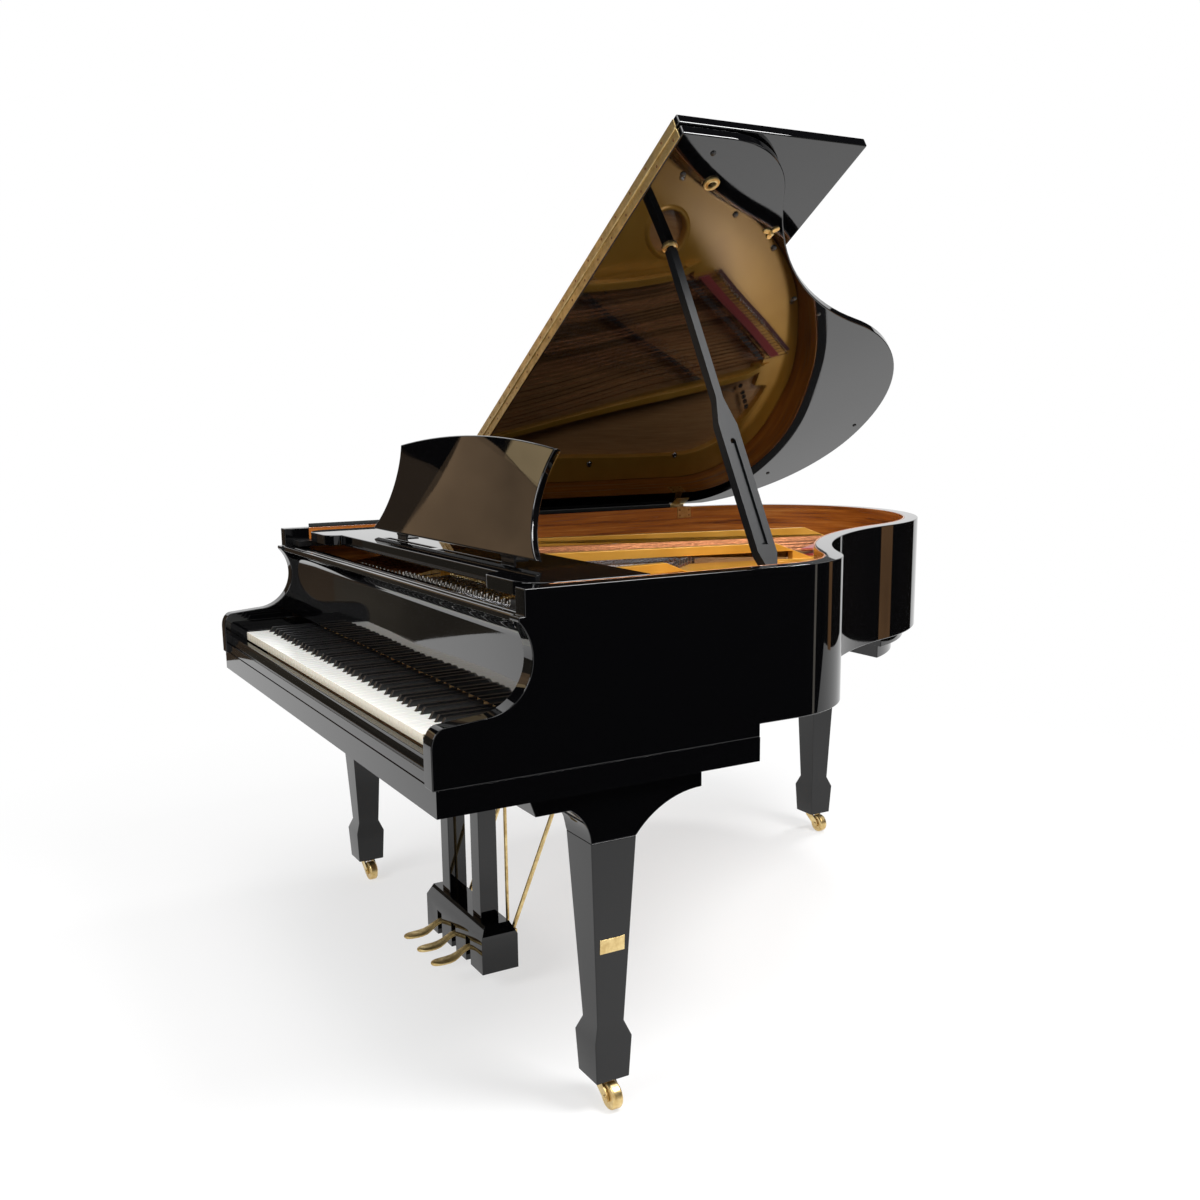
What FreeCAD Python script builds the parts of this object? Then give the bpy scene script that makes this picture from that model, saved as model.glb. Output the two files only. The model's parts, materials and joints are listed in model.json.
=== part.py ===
import FreeCAD, Part
import math
import os

# Grand piano with its lid open on the long prop.
# Frame: the origin is on the floor under the middle of the case, +X runs to the treble side,
# +Y to the tail and +Z up. While modelling, y is counted from the front face of the arms.
# Lengths are in millimetres and angles in degrees.

# Case and plan outline
case_length = 1880.0
rim_top = 1004.0
rim_bottom = 710.0
rim_thickness = 36.0
treble_side_length = 750.0
bulge_radius = 230.0
waist_radius = 900.0
tail_treble_radius = 560.0
tail_bass_radius = 400.0
glue_gap = 0.2
running_gap = 0.06
slide_gap = 0.3
side_play = 4.0
overrun = 20.0

# Arms and cheeks, in side view
arm_bottom = 685.0
arm_top = 795.0
arm_face_height = 67.0
arm_nose_depth = 24.0
arm_fall = 6.0
cheek_centre_y = 95.0
cheek_radius = 92.0
cheek_over_turn = 43.0
cheek_lip_height = 8.0
cheek_face_y = 174.0

# Key bed, key slip and key blocks
key_bed_setback = 6.0
key_bed_depth = 661.0
key_bed_thickness = 47.0
key_slip_front = 8.0
key_slip_thickness = 26.0
key_slip_height = 42.0
key_slip_bevel = 10.0
key_block_back = 186.0
key_block_width = 86.2
key_block_height = 68.0
key_block_round = 12.0

# Keys
natural_count = 52
natural_pitch = 23.6
key_split = 1.0
key_front_y = 36.0
key_top = 750.0
key_thickness = 20.0
key_length = 440.0
key_balance = 225.0
key_lip = 2.0
natural_head = 50.0
sharp_width = 10.5
sharp_top_width = 9.0
sharp_height = 12.0
sharp_length = 97.0
sharp_slope = 9.0
sharp_offset_shares = {0: -0.1, 1: 0.1, 3: -0.16, 4: 0.0, 5: 0.16}

# Action
action_rail_width = 34.0
balance_rail_width = 6.0
action_rail_height = 18.0
action_bracket_gap = 8.4
action_bracket_thickness = 12.0
action_bracket_front = 240.0
action_bracket_back = 490.0
hammer_pivot_y = 350.0
hammer_pivot_z = 815.0
hammer_reach = 130.0
hammer_shank_radius = 2.6
hammer_width = 9.0
hammer_head_height = 95.0
hammer_head_drop = 25.0
hammer_head_depth = 22.0
hammer_rail_size = 14.0

# Fallboard
fallboard_pivot_y = 212.0
fallboard_pivot_z = 795.0
fallboard_pin_radius = 5.0
fallboard_pin_depth = 12.0
fallboard_foot_y = 192.0
fallboard_foot_z = 770.0
fallboard_belly_y = 203.0
fallboard_belly_z = 870.0
fallboard_lip_y = 168.0
fallboard_top = 958.0
fallboard_thickness = 20.0
fallboard_lip_height = 12.0
fallboard_ledge = 52.0

# Sound body under the strings
veneer_thickness = 3.0
veneer_front = 240.0
veneer_bottom = 900.0
inner_rim_thickness = 55.0
inner_rim_top = 880.0
belly_rail_y = 500.0
belly_rail_thickness = 50.0
beam_width = 60.0
beam_height = 70.0
beam_shares = [(-0.62, -0.75), (-0.2, -0.42), (0.25, -0.12), (0.68, 0.1)]
soundboard_thickness = 9.0
soundboard_inset = 37.0
rib_width = 22.0
rib_height = 16.0
rib_count = 8
bridge_width = 26.0
bridge_note_step = 4
bass_rise = 12.0

# Iron plate, pin block and strings
plate_inset = 42.0
plate_flange = 78.0
plate_flange_height = 22.0
plate_web_front = 236.0
plate_web_back = 430.0
plate_web_thickness = 12.0
plate_bar_width = 20.0
plate_bar_height = 54.0
plate_bar_foot = 60.0
plate_bar_fall = 110.0
plate_bar_shares = [(-0.877, -0.388, 0.926), (-0.266, 0.155, 0.736), (0.352, 0.113, 0.482), (0.745, 0.493, 0.383)]
plate_port_radius = 57.0
plate_port_x = 88.0
plate_port_y_share = 0.661
hitch_panel_start = 24.0
hitch_panel_side = 110.0
hitch_first_plain = 45
break_bar = 1
pin_block_thickness = 40.0
tuning_pin_radius = 3.4
tuning_pin_height = 30.0
tuning_pin_step = 26.0
tuning_pin_rows = 4
note_count = 88
wound_count = 28
bridge_height = 29.0
string_radius = 0.8
wound_radius = 1.8
string_front = 436.0
string_edge = 23.6
wound_tail_room = 630.0
wound_length_fall = 344.0
plain_length_fall = 160.0
shortest_plain = 90.0
plain_sweep = 170.0
wound_sweep = 312.0
wound_sweep_fall = 117.0
string_tail = 100.0
damper_y = 520.0
damper_length = 34.0
damper_width = 9.0
damper_height = 20.0
damper_count = 66
felt_start = 32.0
felt_width = 34.0
felt_height = 6.0
felt_last_plain = 84

# Legs, corbels and casters
front_leg_inset = 64.0
front_leg_y = 350.0
tail_leg_offset = 4.0
tail_leg_inset = 180.0
leg_top_half = 47.0
leg_neck_half = 28.7
foot_top_half = 39.5
foot_bottom_half = 35.3
leg_top = 535.0
leg_neck = 170.0
foot_top = 142.0
foot_bottom = 58.0
corbel_front = 168.0
corbel_back = 190.0
corbel_half = 47.0
corbel_drop = 34.0
corbel_flat = 80.0
corbel_sag = 12.0
corbel_bow_share = 0.36
inner_corbel_reach = 130.0
tail_block_inset = 30.0
tail_block_length = 380.0
tail_block_step = 30.0
tail_block_thickness = 40.0
socket_radius = 20.0
socket_thickness = 6.0
sleeve_radius = 9.0
sleeve_length = 40.0
stem_radius = 5.0
stem_length = 38.0
wheel_radius = 26.0
wheel_width = 22.0
wheel_round = 5.0
axle_radius = 4.0
fork_trail = 30.0
fork_wall = 4.0
fork_crown = 7.0
fork_half = 14.0
fork_boss = 10.0
plaque_width = 26.0
plaque_height = 14.0
plaque_thickness = 1.0
plaque_drop = 205.0

# Lyre and pedals
lyre_front = 330.0
lyre_depth = 90.0
lyre_half = 165.0
lyre_bottom = 46.0
lyre_height = 110.0
lyre_moulding = 14.0
lyre_post_x = 90.0
lyre_post_width = 46.0
lyre_post_depth = 45.0
lyre_head_half = 130.0
lyre_head_thickness = 20.0
pedal_spacing = 85.0
pedal_pivot = 45.0
pedal_width = 18.0
pedal_foot_width = 34.0
pedal_foot_length = 56.0
pedal_reach = 92.0
pedal_tail = 66.0
pedal_thickness = 10.0
pedal_drop = 22.0
pedal_height = 86.0
pedal_pin_radius = 4.0
pedal_pin_depth = 10.0
pedal_slot_width = 26.0
pedal_slot_height = 62.0
rod_radius = 4.0
rod_entry = 16.0
rod_hole_depth = 34.0
brace_radius = 5.0
brace_x = 125.0
brace_foot = 12.0
brace_low = 125.0
brace_top_y = 640.0

# Music desk
shelf_front = 218.0
shelf_recess = 37.0
shelf_wing_x = 500.0
shelf_back = 470.0
shelf_side_gap = 44.0
shelf_top = 1000.0
shelf_thickness = 26.0
shelf_corner = 60.0
shelf_slot_width = 16.0
shelf_slot_y = 332.0
shelf_slot_length = 300.0
shelf_slot_gap = 40.0
desk_travel = 120.0
desk_rail_width = 60.0
desk_rail_thickness = 14.0
desk_bottom_y = 352.0
desk_lift = 8.0
desk_lean = 18.0
desk_thickness = 16.0
desk_bottom_half = 462.0
desk_waist_half = 392.0
desk_top_half = 418.0
desk_height = 246.0
desk_waist_height = 118.0
desk_corner_height = 220.0
desk_hinge_radius = 4.0
desk_hinge_length = 60.0
desk_hinge_x = 300.0
desk_hinge_leaf = 2.0

# Lid, its hinges, prop and cups
lid_gap = 4.0
lid_thickness = 20.0
lid_overhang = 6.0
lid_open = 32.0
lid_split_setback = 118.0
lid_pin_offset = 5.0
lid_pin_lift = 2.0
lid_pin_radius = 2.6
lid_barrel_radius = 4.4
lid_hinge_length = 50.0
lid_leaf_thickness = 1.8
lid_hinge_leaf = 40.0
lid_hinge_plate = 34.0
lid_hinge_y_shares = [0.5335, 0.983]
flap_leaf_gap = 0.3
flap_leaf_thickness = 1.5
flap_barrel_radius = 2.4
flap_barrel_gap = 0.5
flap_segment_count = 14
cup_radius = 17.0
cup_bore = 8.0
cup_thickness = 4.0
prop_cup_inset = 299.0
prop_cup_ahead = 28.0
short_cup_inset = 110.0
short_cup_ahead = 22.0
prop_pivot_inset = 82.0
prop_pivot_setback = 5.0
prop_pivot_drop = 26.0
prop_fold_heading = 140.0
prop_tip_gap = 1.0
prop_width = 46.0
prop_thickness = 20.0
prop_tip_width = 18.0
prop_wide_length = 330.0
prop_taper_length = 60.0
prop_neck_width = 18.0
prop_neck_length = 44.0
prop_boss_radius = 13.0
prop_boss_half = 14.0
prop_slot_width = 13.0
prop_slot_start = 60.0
prop_slot_length = 230.0
prop_pin_radius = 4.0
prop_pin_depth = 10.0
prop_block_side = 8.0
prop_block_front = 20.0
prop_block_back = 40.0
prop_block_drop = 30.0
prop_block_rise = 12.0
prop_block_room = 120.0
prop_nose_radius = 5.0
prop_nose_length = 8.0
short_prop_clearance = 0.8
short_prop_pin_radius = 2.0
short_prop_play = 2.0

# The case is built round the keys, and these places follow from the case
natural_half = natural_count * natural_pitch / 2
cheek_inner = natural_half + side_play + key_block_width + glue_gap
half_width = cheek_inner + rim_thickness
soundboard_top = inner_rim_top + soundboard_thickness
web_top = soundboard_top + plate_web_thickness
key_bed_bottom = arm_bottom - key_bed_thickness
key_bottom = key_top - key_thickness
lid_bottom = rim_top + lid_gap
lid_top = lid_bottom + lid_thickness
action_bracket_x = natural_half + action_bracket_gap
plate_port_y = plate_port_y_share * case_length
string_height = soundboard_top + bridge_height
string_span = 2 * (natural_half - string_edge)
wound_longest = case_length - wound_tail_room
wound_shortest = wound_longest - wound_length_fall
longest_plain = wound_longest - plain_length_fall
front_leg_x = half_width - front_leg_inset
tail_leg_x = tail_bass_radius - half_width + tail_leg_offset
tail_leg_y = case_length - tail_leg_inset
tail_block_front = case_length - tail_block_length
shelf_half = cheek_inner - shelf_side_gap
lid_split = treble_side_length - lid_split_setback
prop_pivot_x = half_width - prop_pivot_inset
prop_pivot_y = treble_side_length - prop_pivot_setback
prop_cup_x = half_width - prop_cup_inset
prop_cup_y = prop_pivot_y + prop_cup_ahead
short_cup_x = half_width - short_cup_inset
short_cup_y = prop_pivot_y + short_cup_ahead


def vector(x, y, z):
    return FreeCAD.Vector(x, y, z)


def heading(angle):
    return math.cos(math.radians(angle)), math.sin(math.radians(angle))


def box(low_x, high_x, low_y, high_y, low_z, high_z):
    return Part.makeBox(high_x - low_x, high_y - low_y, high_z - low_z, vector(low_x, low_y, low_z))


def cylinder(radius, start, end):
    along = end - start
    return Part.makeCylinder(radius, along.Length, start, along)


def closed_face(points, place):
    # A point is a corner; a pair of points is an arc through the first to the second.
    edges = []
    current = points[0]
    for step in points[1:] + points[:1]:
        if isinstance(step[0], tuple):
            middle, end = step
            edges.append(Part.Arc(place(*current), place(*middle), place(*end)).toShape())
        elif step != current:
            end = step
            edges.append(Part.LineSegment(place(*current), place(*end)).toShape())
        current = end
    return Part.Face(Part.Wire(edges))


def side_solid(points, low_x, high_x):
    face = closed_face(points, lambda y, z: vector(low_x, y, z))
    return face.extrude(vector(high_x - low_x, 0, 0))


def front_solid(points, low_y, high_y):
    face = closed_face(points, lambda x, z: vector(x, low_y, z))
    return face.extrude(vector(0, high_y - low_y, 0))


def top_solid(points, low_z, high_z):
    face = closed_face(points, lambda x, y: vector(x, y, low_z))
    return face.extrude(vector(0, 0, high_z - low_z))


def join(solids):
    whole = solids[0]
    for solid in solids[1:]:
        whole = whole.fuse(solid)
    return whole.removeSplitter()


def mirrored(solid):
    return solid.mirror(vector(0, 0, 0), vector(1, 0, 0))


def on_circle(centre, radius, angle):
    across, up = heading(angle)
    return centre[0] + radius * across, centre[1] + radius * up


def bend(centre, radius, first, last):
    return on_circle(centre, radius, (first + last) / 2), on_circle(centre, radius, last)


def write(name, solids):
    shape = solids if isinstance(solids, Part.Shape) else Part.makeCompound(solids)
    placed = shape.copy()
    placed.translate(vector(0, -case_length / 2, 0))
    placed.exportStep(os.path.join("parts", name + ".step"))


# Plan outline: straight treble side, bulge, waist, rounded tail and straight spine.
# An inset keeps the arcs' centres, so every layer of the rim runs parallel to the last.
bulge_centre = (half_width - bulge_radius, treble_side_length)
tail_x = tail_bass_radius - half_width
tail_bass_centre = (tail_x, case_length - tail_bass_radius)
tail_treble_centre = (tail_x, case_length - tail_treble_radius)
# The waist's arc touches the bulge and the tail, which gives its centre and where it meets them
run_x = tail_x - bulge_centre[0]
run_y = tail_treble_centre[1] - bulge_centre[1]
run = math.hypot(run_x, run_y)
bulge_reach = bulge_radius + waist_radius
tail_reach = tail_treble_radius + waist_radius
run_share = (run ** 2 + bulge_reach ** 2 - tail_reach ** 2) / (2 * run ** 2)
off_share = math.sqrt(bulge_reach ** 2 - (run_share * run) ** 2) / run
waist_centre = (bulge_centre[0] + run_share * run_x + off_share * run_y,
                bulge_centre[1] + run_share * run_y - off_share * run_x)
bulge_turn = math.degrees(math.atan2(waist_centre[1] - bulge_centre[1], waist_centre[0] - bulge_centre[0]))
tail_turn = math.degrees(math.atan2(waist_centre[1] - tail_treble_centre[1], waist_centre[0] - tail_x))


def plan_solid(inset, front_y, low_z, high_z):
    waist_inset = waist_radius + inset
    points = [
        (half_width - inset, front_y),
        (half_width - inset, treble_side_length),
        bend(bulge_centre, bulge_radius - inset, 0, bulge_turn),
        bend(waist_centre, -waist_inset, bulge_turn, tail_turn),
        bend(tail_treble_centre, tail_treble_radius - inset, tail_turn, 90),
        bend(tail_bass_centre, tail_bass_radius - inset, 90, 180),
        (inset - half_width, front_y),
    ]
    return top_solid(points, low_z, high_z)


def rim_layer(outer_inset, inner_inset, front_y, low_z, high_z):
    outside = plan_solid(outer_inset, front_y, low_z, high_z)
    return outside.cut(plan_solid(inner_inset, front_y - overrun, low_z - overrun, high_z + overrun))


def across_x(share):
    return share * (half_width - plate_inset)


# Outer rim with the arms and cheeks cut to their side profile
def outer_rim():
    arm_nose_z = arm_top - arm_fall
    cheek_centre = (cheek_centre_y, arm_top + cheek_radius)
    lip = on_circle(cheek_centre, cheek_radius, cheek_over_turn)
    lip_z = lip[1] + cheek_lip_height
    nose_start = arm_bottom + arm_face_height
    nose_low, nose_high = heading(45)
    nose_middle = (arm_nose_depth * (1 - nose_low), nose_start + (arm_nose_z - nose_start) * nose_high)
    tail_y = case_length + overrun
    profile = [
        (0, arm_bottom),
        (0, nose_start),
        (nose_middle, (arm_nose_depth, arm_nose_z)),
        (cheek_centre_y, arm_top),
        bend(cheek_centre, cheek_radius, -90, 0),
        bend(cheek_centre, cheek_radius, 0, cheek_over_turn),
        (lip[0], lip_z),
        (cheek_face_y, lip_z),
        (cheek_face_y, rim_top),
        (tail_y, rim_top),
        (tail_y, rim_bottom),
        (key_bed_depth, rim_bottom),
        (key_bed_depth, arm_bottom),
    ]
    ring = rim_layer(0, rim_thickness, 0, arm_bottom, rim_top)
    rim = ring.common(side_solid(profile, -half_width - overrun, half_width + overrun))
    reach = cheek_inner + fallboard_pin_depth
    pivot = cylinder(fallboard_pin_radius + running_gap,
                     vector(-reach, fallboard_pivot_y, fallboard_pivot_z),
                     vector(reach, fallboard_pivot_y, fallboard_pivot_z))
    return rim.cut(pivot)


def rim_veneer():
    inset = rim_thickness + glue_gap
    return rim_layer(inset, inset + veneer_thickness, veneer_front, veneer_bottom, rim_top)


def inner_rim():
    inset = rim_thickness + glue_gap
    return rim_layer(inset, inset + inner_rim_thickness, belly_rail_y, rim_bottom, inner_rim_top)


inner_clear = rim_thickness + glue_gap + inner_rim_thickness + glue_gap


def inside_case(solid):
    room = plan_solid(inner_clear, belly_rail_y, rim_bottom - overrun, rim_top)
    return solid.common(room)


def belly_rail():
    half = half_width - inner_clear
    return box(-half, half, belly_rail_y, belly_rail_y + belly_rail_thickness, rim_bottom, inner_rim_top)


def back_beams():
    beams = []
    start_y = belly_rail_y + belly_rail_thickness
    for front_share, back_share in beam_shares:
        front_x = across_x(front_share)
        back_x = across_x(back_share)
        points = [(front_x - beam_width / 2, start_y), (front_x + beam_width / 2, start_y),
                  (back_x + beam_width / 2, case_length), (back_x - beam_width / 2, case_length)]
        beams.append(inside_case(top_solid(points, rim_bottom, rim_bottom + beam_height)))
    return beams


def soundboard():
    return plan_solid(soundboard_inset, belly_rail_y, inner_rim_top, soundboard_top)


def soundboard_ribs():
    start_y = belly_rail_y + belly_rail_thickness
    step = (case_length - inner_clear - start_y) / (rib_count + 1)
    ribs = []
    for number in range(rib_count):
        low_y = start_y + step * (number + 1) - rib_width / 2
        bar = box(-half_width, half_width, low_y, low_y + rib_width,
                  inner_rim_top - rib_height, inner_rim_top)
        ribs.append(inside_case(bar))
    return ribs


# Strings: each note has a front point, an end on its bridge and a tail to the hitch
def note_x(note):
    return string_span * (note / (note_count - 1)) - string_span / 2


def string_line(note):
    front = (note_x(note), string_front)
    if note < wound_count:
        step = note / (wound_count - 1)
        length = wound_longest + (wound_shortest - wound_longest) * step
        return front, (front[0] + wound_sweep - wound_sweep_fall * step, string_front + length)
    step = (note - wound_count) / (note_count - 1 - wound_count)
    length = longest_plain * (shortest_plain / longest_plain) ** step
    return front, (front[0] - plain_sweep * (length / longest_plain), string_front + length)


def string_z(note):
    return string_height + (bass_rise if note < wound_count else 0)


def tail_point(note, beyond):
    # A place on the string's line, past its bridge
    front, back = string_line(note)
    length = math.hypot(back[0] - front[0], back[1] - front[1])
    stretch = (length + beyond) / length
    return front[0] + (back[0] - front[0]) * stretch, front[1] + (back[1] - front[1]) * stretch


def strings(notes, radius):
    wires = []
    for note in notes:
        front, back = string_line(note)[0], tail_point(note, string_tail)
        wires.append(cylinder(radius, vector(front[0], front[1], string_z(note)),
                              vector(back[0], back[1], string_z(note))))
    return wires


def bridge(notes, low_z, high_z):
    ends = [string_line(note)[1] for note in notes]
    half = bridge_width / 2
    near = [vector(x, y - half, low_z) for x, y in ends]
    far = [vector(x, y + half, low_z) for x, y in reversed(ends)]
    sides = []
    for points in (near, far):
        curve = Part.BSplineCurve()
        curve.interpolate(points)
        sides.append(curve.toShape())
    caps = [Part.LineSegment(near[-1], far[0]).toShape(), Part.LineSegment(far[-1], near[0]).toShape()]
    face = Part.Face(Part.Wire([sides[0], caps[0], sides[1], caps[1]]))
    return face.extrude(vector(0, 0, high_z - low_z))


def bridges():
    plain = list(range(wound_count, note_count, bridge_note_step)) + [note_count - 1]
    wound = list(range(0, wound_count, bridge_note_step)) + [wound_count - 1]
    return [bridge(plain, soundboard_top, string_height - string_radius),
            bridge(wound, soundboard_top, string_height + bass_rise - wound_radius)]


flange_top = soundboard_top + plate_flange_height
bar_start = plate_web_back - plate_bar_width


def bar_x(bar, y):
    front_x, back_x = across_x(bar[0]), across_x(bar[1])
    return front_x + (back_x - front_x) * (y - bar_start) / (case_length - bar_start)


def string_felts():
    # Felt strips on the hitch panels, under the string ends past the bridges
    felts = []
    for first, last in ((0, wound_count - 1), (hitch_first_plain, felt_last_plain)):
        notes = range(first, last + 1, 2)
        near = [tail_point(note, felt_start) for note in notes]
        far = [tail_point(note, felt_start + felt_width) for note in notes]
        felts.append(top_solid(near + far[::-1], flange_top, flange_top + felt_height))
    return felts


def plate_bar(bar):
    # A wall above the strings, standing on the web in front and falling to the panel behind
    end_y = bar[2] * case_length
    half = plate_bar_width / 2
    low = string_height + bass_rise + wound_radius + slide_gap
    high = soundboard_top + plate_bar_height + bass_rise
    plan = [(bar_x(bar, y) + side, y) for y, side in ((bar_start, -half), (bar_start, half), (end_y, half),
                                                      (end_y, -half))]
    profile = [(bar_start, soundboard_top), (bar_start, high), (end_y - plate_bar_fall, high),
               (end_y, flange_top), (end_y, soundboard_top), (end_y - plate_bar_foot, soundboard_top),
               (end_y - plate_bar_foot, low), (plate_web_back, low), (plate_web_back, soundboard_top)]
    return top_solid(plan, soundboard_top, high).common(side_solid(profile, -half_width, half_width))


def hitch_panels(room):
    # Broad panels past the bridges: the bass one round the tail, the treble one along the bent side
    edge = plate_bar_shares[break_bar]
    far_y = case_length + overrun
    corner = (bar_x(edge, far_y), far_y)
    wound = [tail_point(note, hitch_panel_start) for note in range(0, wound_count, 3)]
    first_x = wound[0][0] - hitch_panel_side
    bass = [(first_x, wound[0][1])] + wound + [(bar_x(edge, wound[-1][1]), wound[-1][1]), corner, (first_x, far_y)]
    plain = [tail_point(note, hitch_panel_start) for note in range(hitch_first_plain, note_count, 3)]
    start = (bar_x(edge, plain[0][1]), plain[0][1])
    treble = [start] + plain + [(half_width, plain[-1][1]), (half_width, far_y), corner]
    return [top_solid(points, soundboard_top, flange_top).common(room) for points in (bass, treble)]


def iron_plate():
    inner_inset = plate_inset + plate_flange
    flange = rim_layer(plate_inset, inner_inset, plate_web_back, soundboard_top, flange_top)
    half = half_width - plate_inset
    web = box(-half, half, plate_web_front, plate_web_back, soundboard_top, web_top)
    room = plan_solid(plate_inset, plate_web_back, soundboard_top, flange_top)
    solids = [flange, web] + hitch_panels(room) + [plate_bar(bar) for bar in plate_bar_shares]
    plate = join(solids)
    port = cylinder(plate_port_radius, vector(plate_port_x, plate_port_y, soundboard_top - overrun),
                    vector(plate_port_x, plate_port_y, flange_top + overrun))
    return plate.cut(port)


def pin_block():
    half = cheek_inner - glue_gap
    return box(-half, half, plate_web_front, plate_web_back,
               soundboard_top - pin_block_thickness, soundboard_top)


def tuning_pins():
    pins = []
    for note in range(note_count):
        front_x = note_x(note)
        row = note % tuning_pin_rows
        y = plate_web_front + tuning_pin_step * (row + 1)
        pins.append(cylinder(tuning_pin_radius, vector(front_x, y, web_top),
                             vector(front_x, y, web_top + tuning_pin_height)))
    return pins


def string_x(note, y):
    front, back = string_line(note)
    return front[0] + (back[0] - front[0]) * (y - front[1]) / (back[1] - front[1])


def dampers():
    # A damper is left out where a bar of the plate stands, or where the wound strings cross.
    heads = []
    wound_edge = string_x(wound_count - 1, damper_y + damper_length) + damper_width
    for note in range(damper_count):
        middle_y = damper_y + damper_length / 2
        x = string_x(note, middle_y)
        clear = plate_bar_width / 2 + damper_width + side_play
        if any(abs(bar_x(bar, middle_y) - x) < clear for bar in plate_bar_shares):
            continue
        if note >= wound_count and x < wound_edge:
            continue
        radius = wound_radius if note < wound_count else string_radius
        low = string_z(note) + radius + slide_gap
        heads.append(box(x - damper_width / 2, x + damper_width / 2, damper_y,
                         damper_y + damper_length, low, low + damper_height))
    return heads


# Key bed, keys and action
def key_bed():
    slab = box(-half_width, half_width, key_bed_setback, key_bed_depth, key_bed_bottom, arm_bottom)
    for x in pedal_places():
        hole = cylinder(rod_radius + running_gap, vector(x, rod_y(), key_bed_bottom),
                        vector(x, rod_y(), key_bed_bottom + rod_hole_depth))
        slab = slab.cut(hole)
    return slab


def key_slip():
    half = cheek_inner - glue_gap
    back = key_slip_front + key_slip_thickness
    top = arm_bottom + key_slip_height
    profile = [(key_slip_front, arm_bottom), (key_slip_front, top - 2 * key_slip_bevel),
               (key_slip_front + key_slip_bevel / 2, top - 2 * key_slip_bevel),
               (key_slip_front + key_slip_bevel, top - key_slip_bevel),
               (key_slip_front + key_slip_bevel, top), (back, top), (back, arm_bottom)]
    return side_solid(profile, -half, half)


def key_blocks():
    low_x = natural_half + side_play
    high_x = cheek_inner - glue_gap
    front = key_slip_front + key_slip_thickness
    top = arm_bottom + key_block_height
    inward = key_block_round * (1 - heading(45)[0])
    round_middle = (front + inward, top - inward)
    profile = [(front, arm_bottom), (front, top - key_block_round),
               (round_middle, (front + key_block_round, top)),
               (key_block_back, top), (key_block_back, arm_bottom)]
    block = side_solid(profile, low_x, high_x)
    return [block, mirrored(block)]


def natural_left(number):
    return number * natural_pitch - natural_half


def sharp_after(number):
    # A sharp follows natural 0 (A), then every natural of an octave except B and E.
    return number < natural_count - 1 and (number - 2) % 7 not in (2, 6)


def sharp_places():
    places = []
    for number in range(natural_count):
        if sharp_after(number):
            share = sharp_offset_shares[(number - 2) % 7]
            places.append(natural_left(number + 1) + share * natural_pitch)
    return places


def natural_keys():
    keys = []
    back_y = key_front_y + key_length
    cut_half = sharp_width / 2 + key_split
    places = sharp_places()
    for number in range(natural_count):
        left = natural_left(number) + key_split / 2
        right = natural_left(number + 1) - key_split / 2
        key = box(left, right, key_front_y, back_y, key_bottom, key_top)
        for x in places:
            if left - cut_half < x < right + cut_half:
                notch = box(x - cut_half, x + cut_half, key_front_y + natural_head, back_y + overrun,
                            key_bottom - overrun, key_top + overrun)
                key = key.cut(notch)
        keys.append(key)
    return keys


def sharp_keys():
    keys = []
    front = key_front_y + natural_head + key_split
    for x in sharp_places():
        lever = box(x - sharp_width / 2, x + sharp_width / 2, front, key_front_y + key_length,
                    key_bottom, key_top - key_lip)
        base = key_top - key_lip
        top = key_top + sharp_height
        profile = [(front, base), (front + sharp_slope, top), (front + sharp_length, top),
                   (front + sharp_length, base)]
        cap = side_solid(profile, x - sharp_top_width / 2, x + sharp_top_width / 2)
        keys.append(lever.fuse(cap))
    return keys


def action_frame():
    half = action_bracket_x + action_bracket_thickness
    base = arm_bottom + slide_gap
    rail_top = base + action_rail_height
    back_y = key_front_y + key_length
    balance_y = key_front_y + key_balance
    front_rail_y = key_front_y + natural_head
    solids = []
    for low_y in (front_rail_y, balance_y - action_rail_width / 2, back_y - action_rail_width):
        inner = half if low_y > key_block_back else natural_half
        solids.append(box(-inner, inner, low_y, low_y + action_rail_width, base, rail_top))
    for x in (-natural_half, natural_half - action_rail_width):
        solids.append(box(x, x + action_rail_width, front_rail_y, back_y, base, rail_top))
    solids.append(box(-natural_half, natural_half, balance_y - balance_rail_width / 2,
                      balance_y + balance_rail_width / 2, rail_top, key_bottom - slide_gap))
    solids.append(box(-natural_half, natural_half, back_y - action_rail_width, back_y,
                      rail_top, key_bottom - slide_gap))
    rail_low = hammer_pivot_z - hammer_shank_radius - hammer_rail_size
    for x in (-half, action_bracket_x):
        points = [(action_bracket_front, base), (action_bracket_back, base),
                  (action_bracket_back, rail_top),
                  (hammer_pivot_y + hammer_rail_size, hammer_pivot_z),
                  (hammer_pivot_y - hammer_rail_size, hammer_pivot_z),
                  (action_bracket_front, rail_top)]
        solids.append(side_solid(points, x, x + action_bracket_thickness))
    solids.append(box(-half, half, hammer_pivot_y, hammer_pivot_y + hammer_rail_size,
                      rail_low, rail_low + hammer_rail_size))
    return join(solids)


def note_is_natural(note):
    return note % 12 not in (1, 4, 6, 9, 11)


def hammer(note):
    x = note_x(note)
    shank_back = hammer_pivot_y + hammer_reach
    shank_z = hammer_pivot_z + slide_gap
    shank = cylinder(hammer_shank_radius, vector(x, hammer_pivot_y, shank_z), vector(x, shank_back, shank_z))
    low = hammer_pivot_z - hammer_head_drop
    high = low + hammer_head_height
    half = hammer_head_depth / 2
    belly = high - hammer_head_depth
    profile = [(shank_back - half / 2, low), (shank_back + half / 2, low), (shank_back + half, belly),
               ((shank_back, high), (shank_back - half, belly))]
    return shank.fuse(side_solid(profile, x - hammer_width / 2, x + hammer_width / 2))


def hammers(natural):
    return [hammer(note) for note in range(note_count) if note_is_natural(note) == natural]


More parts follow.
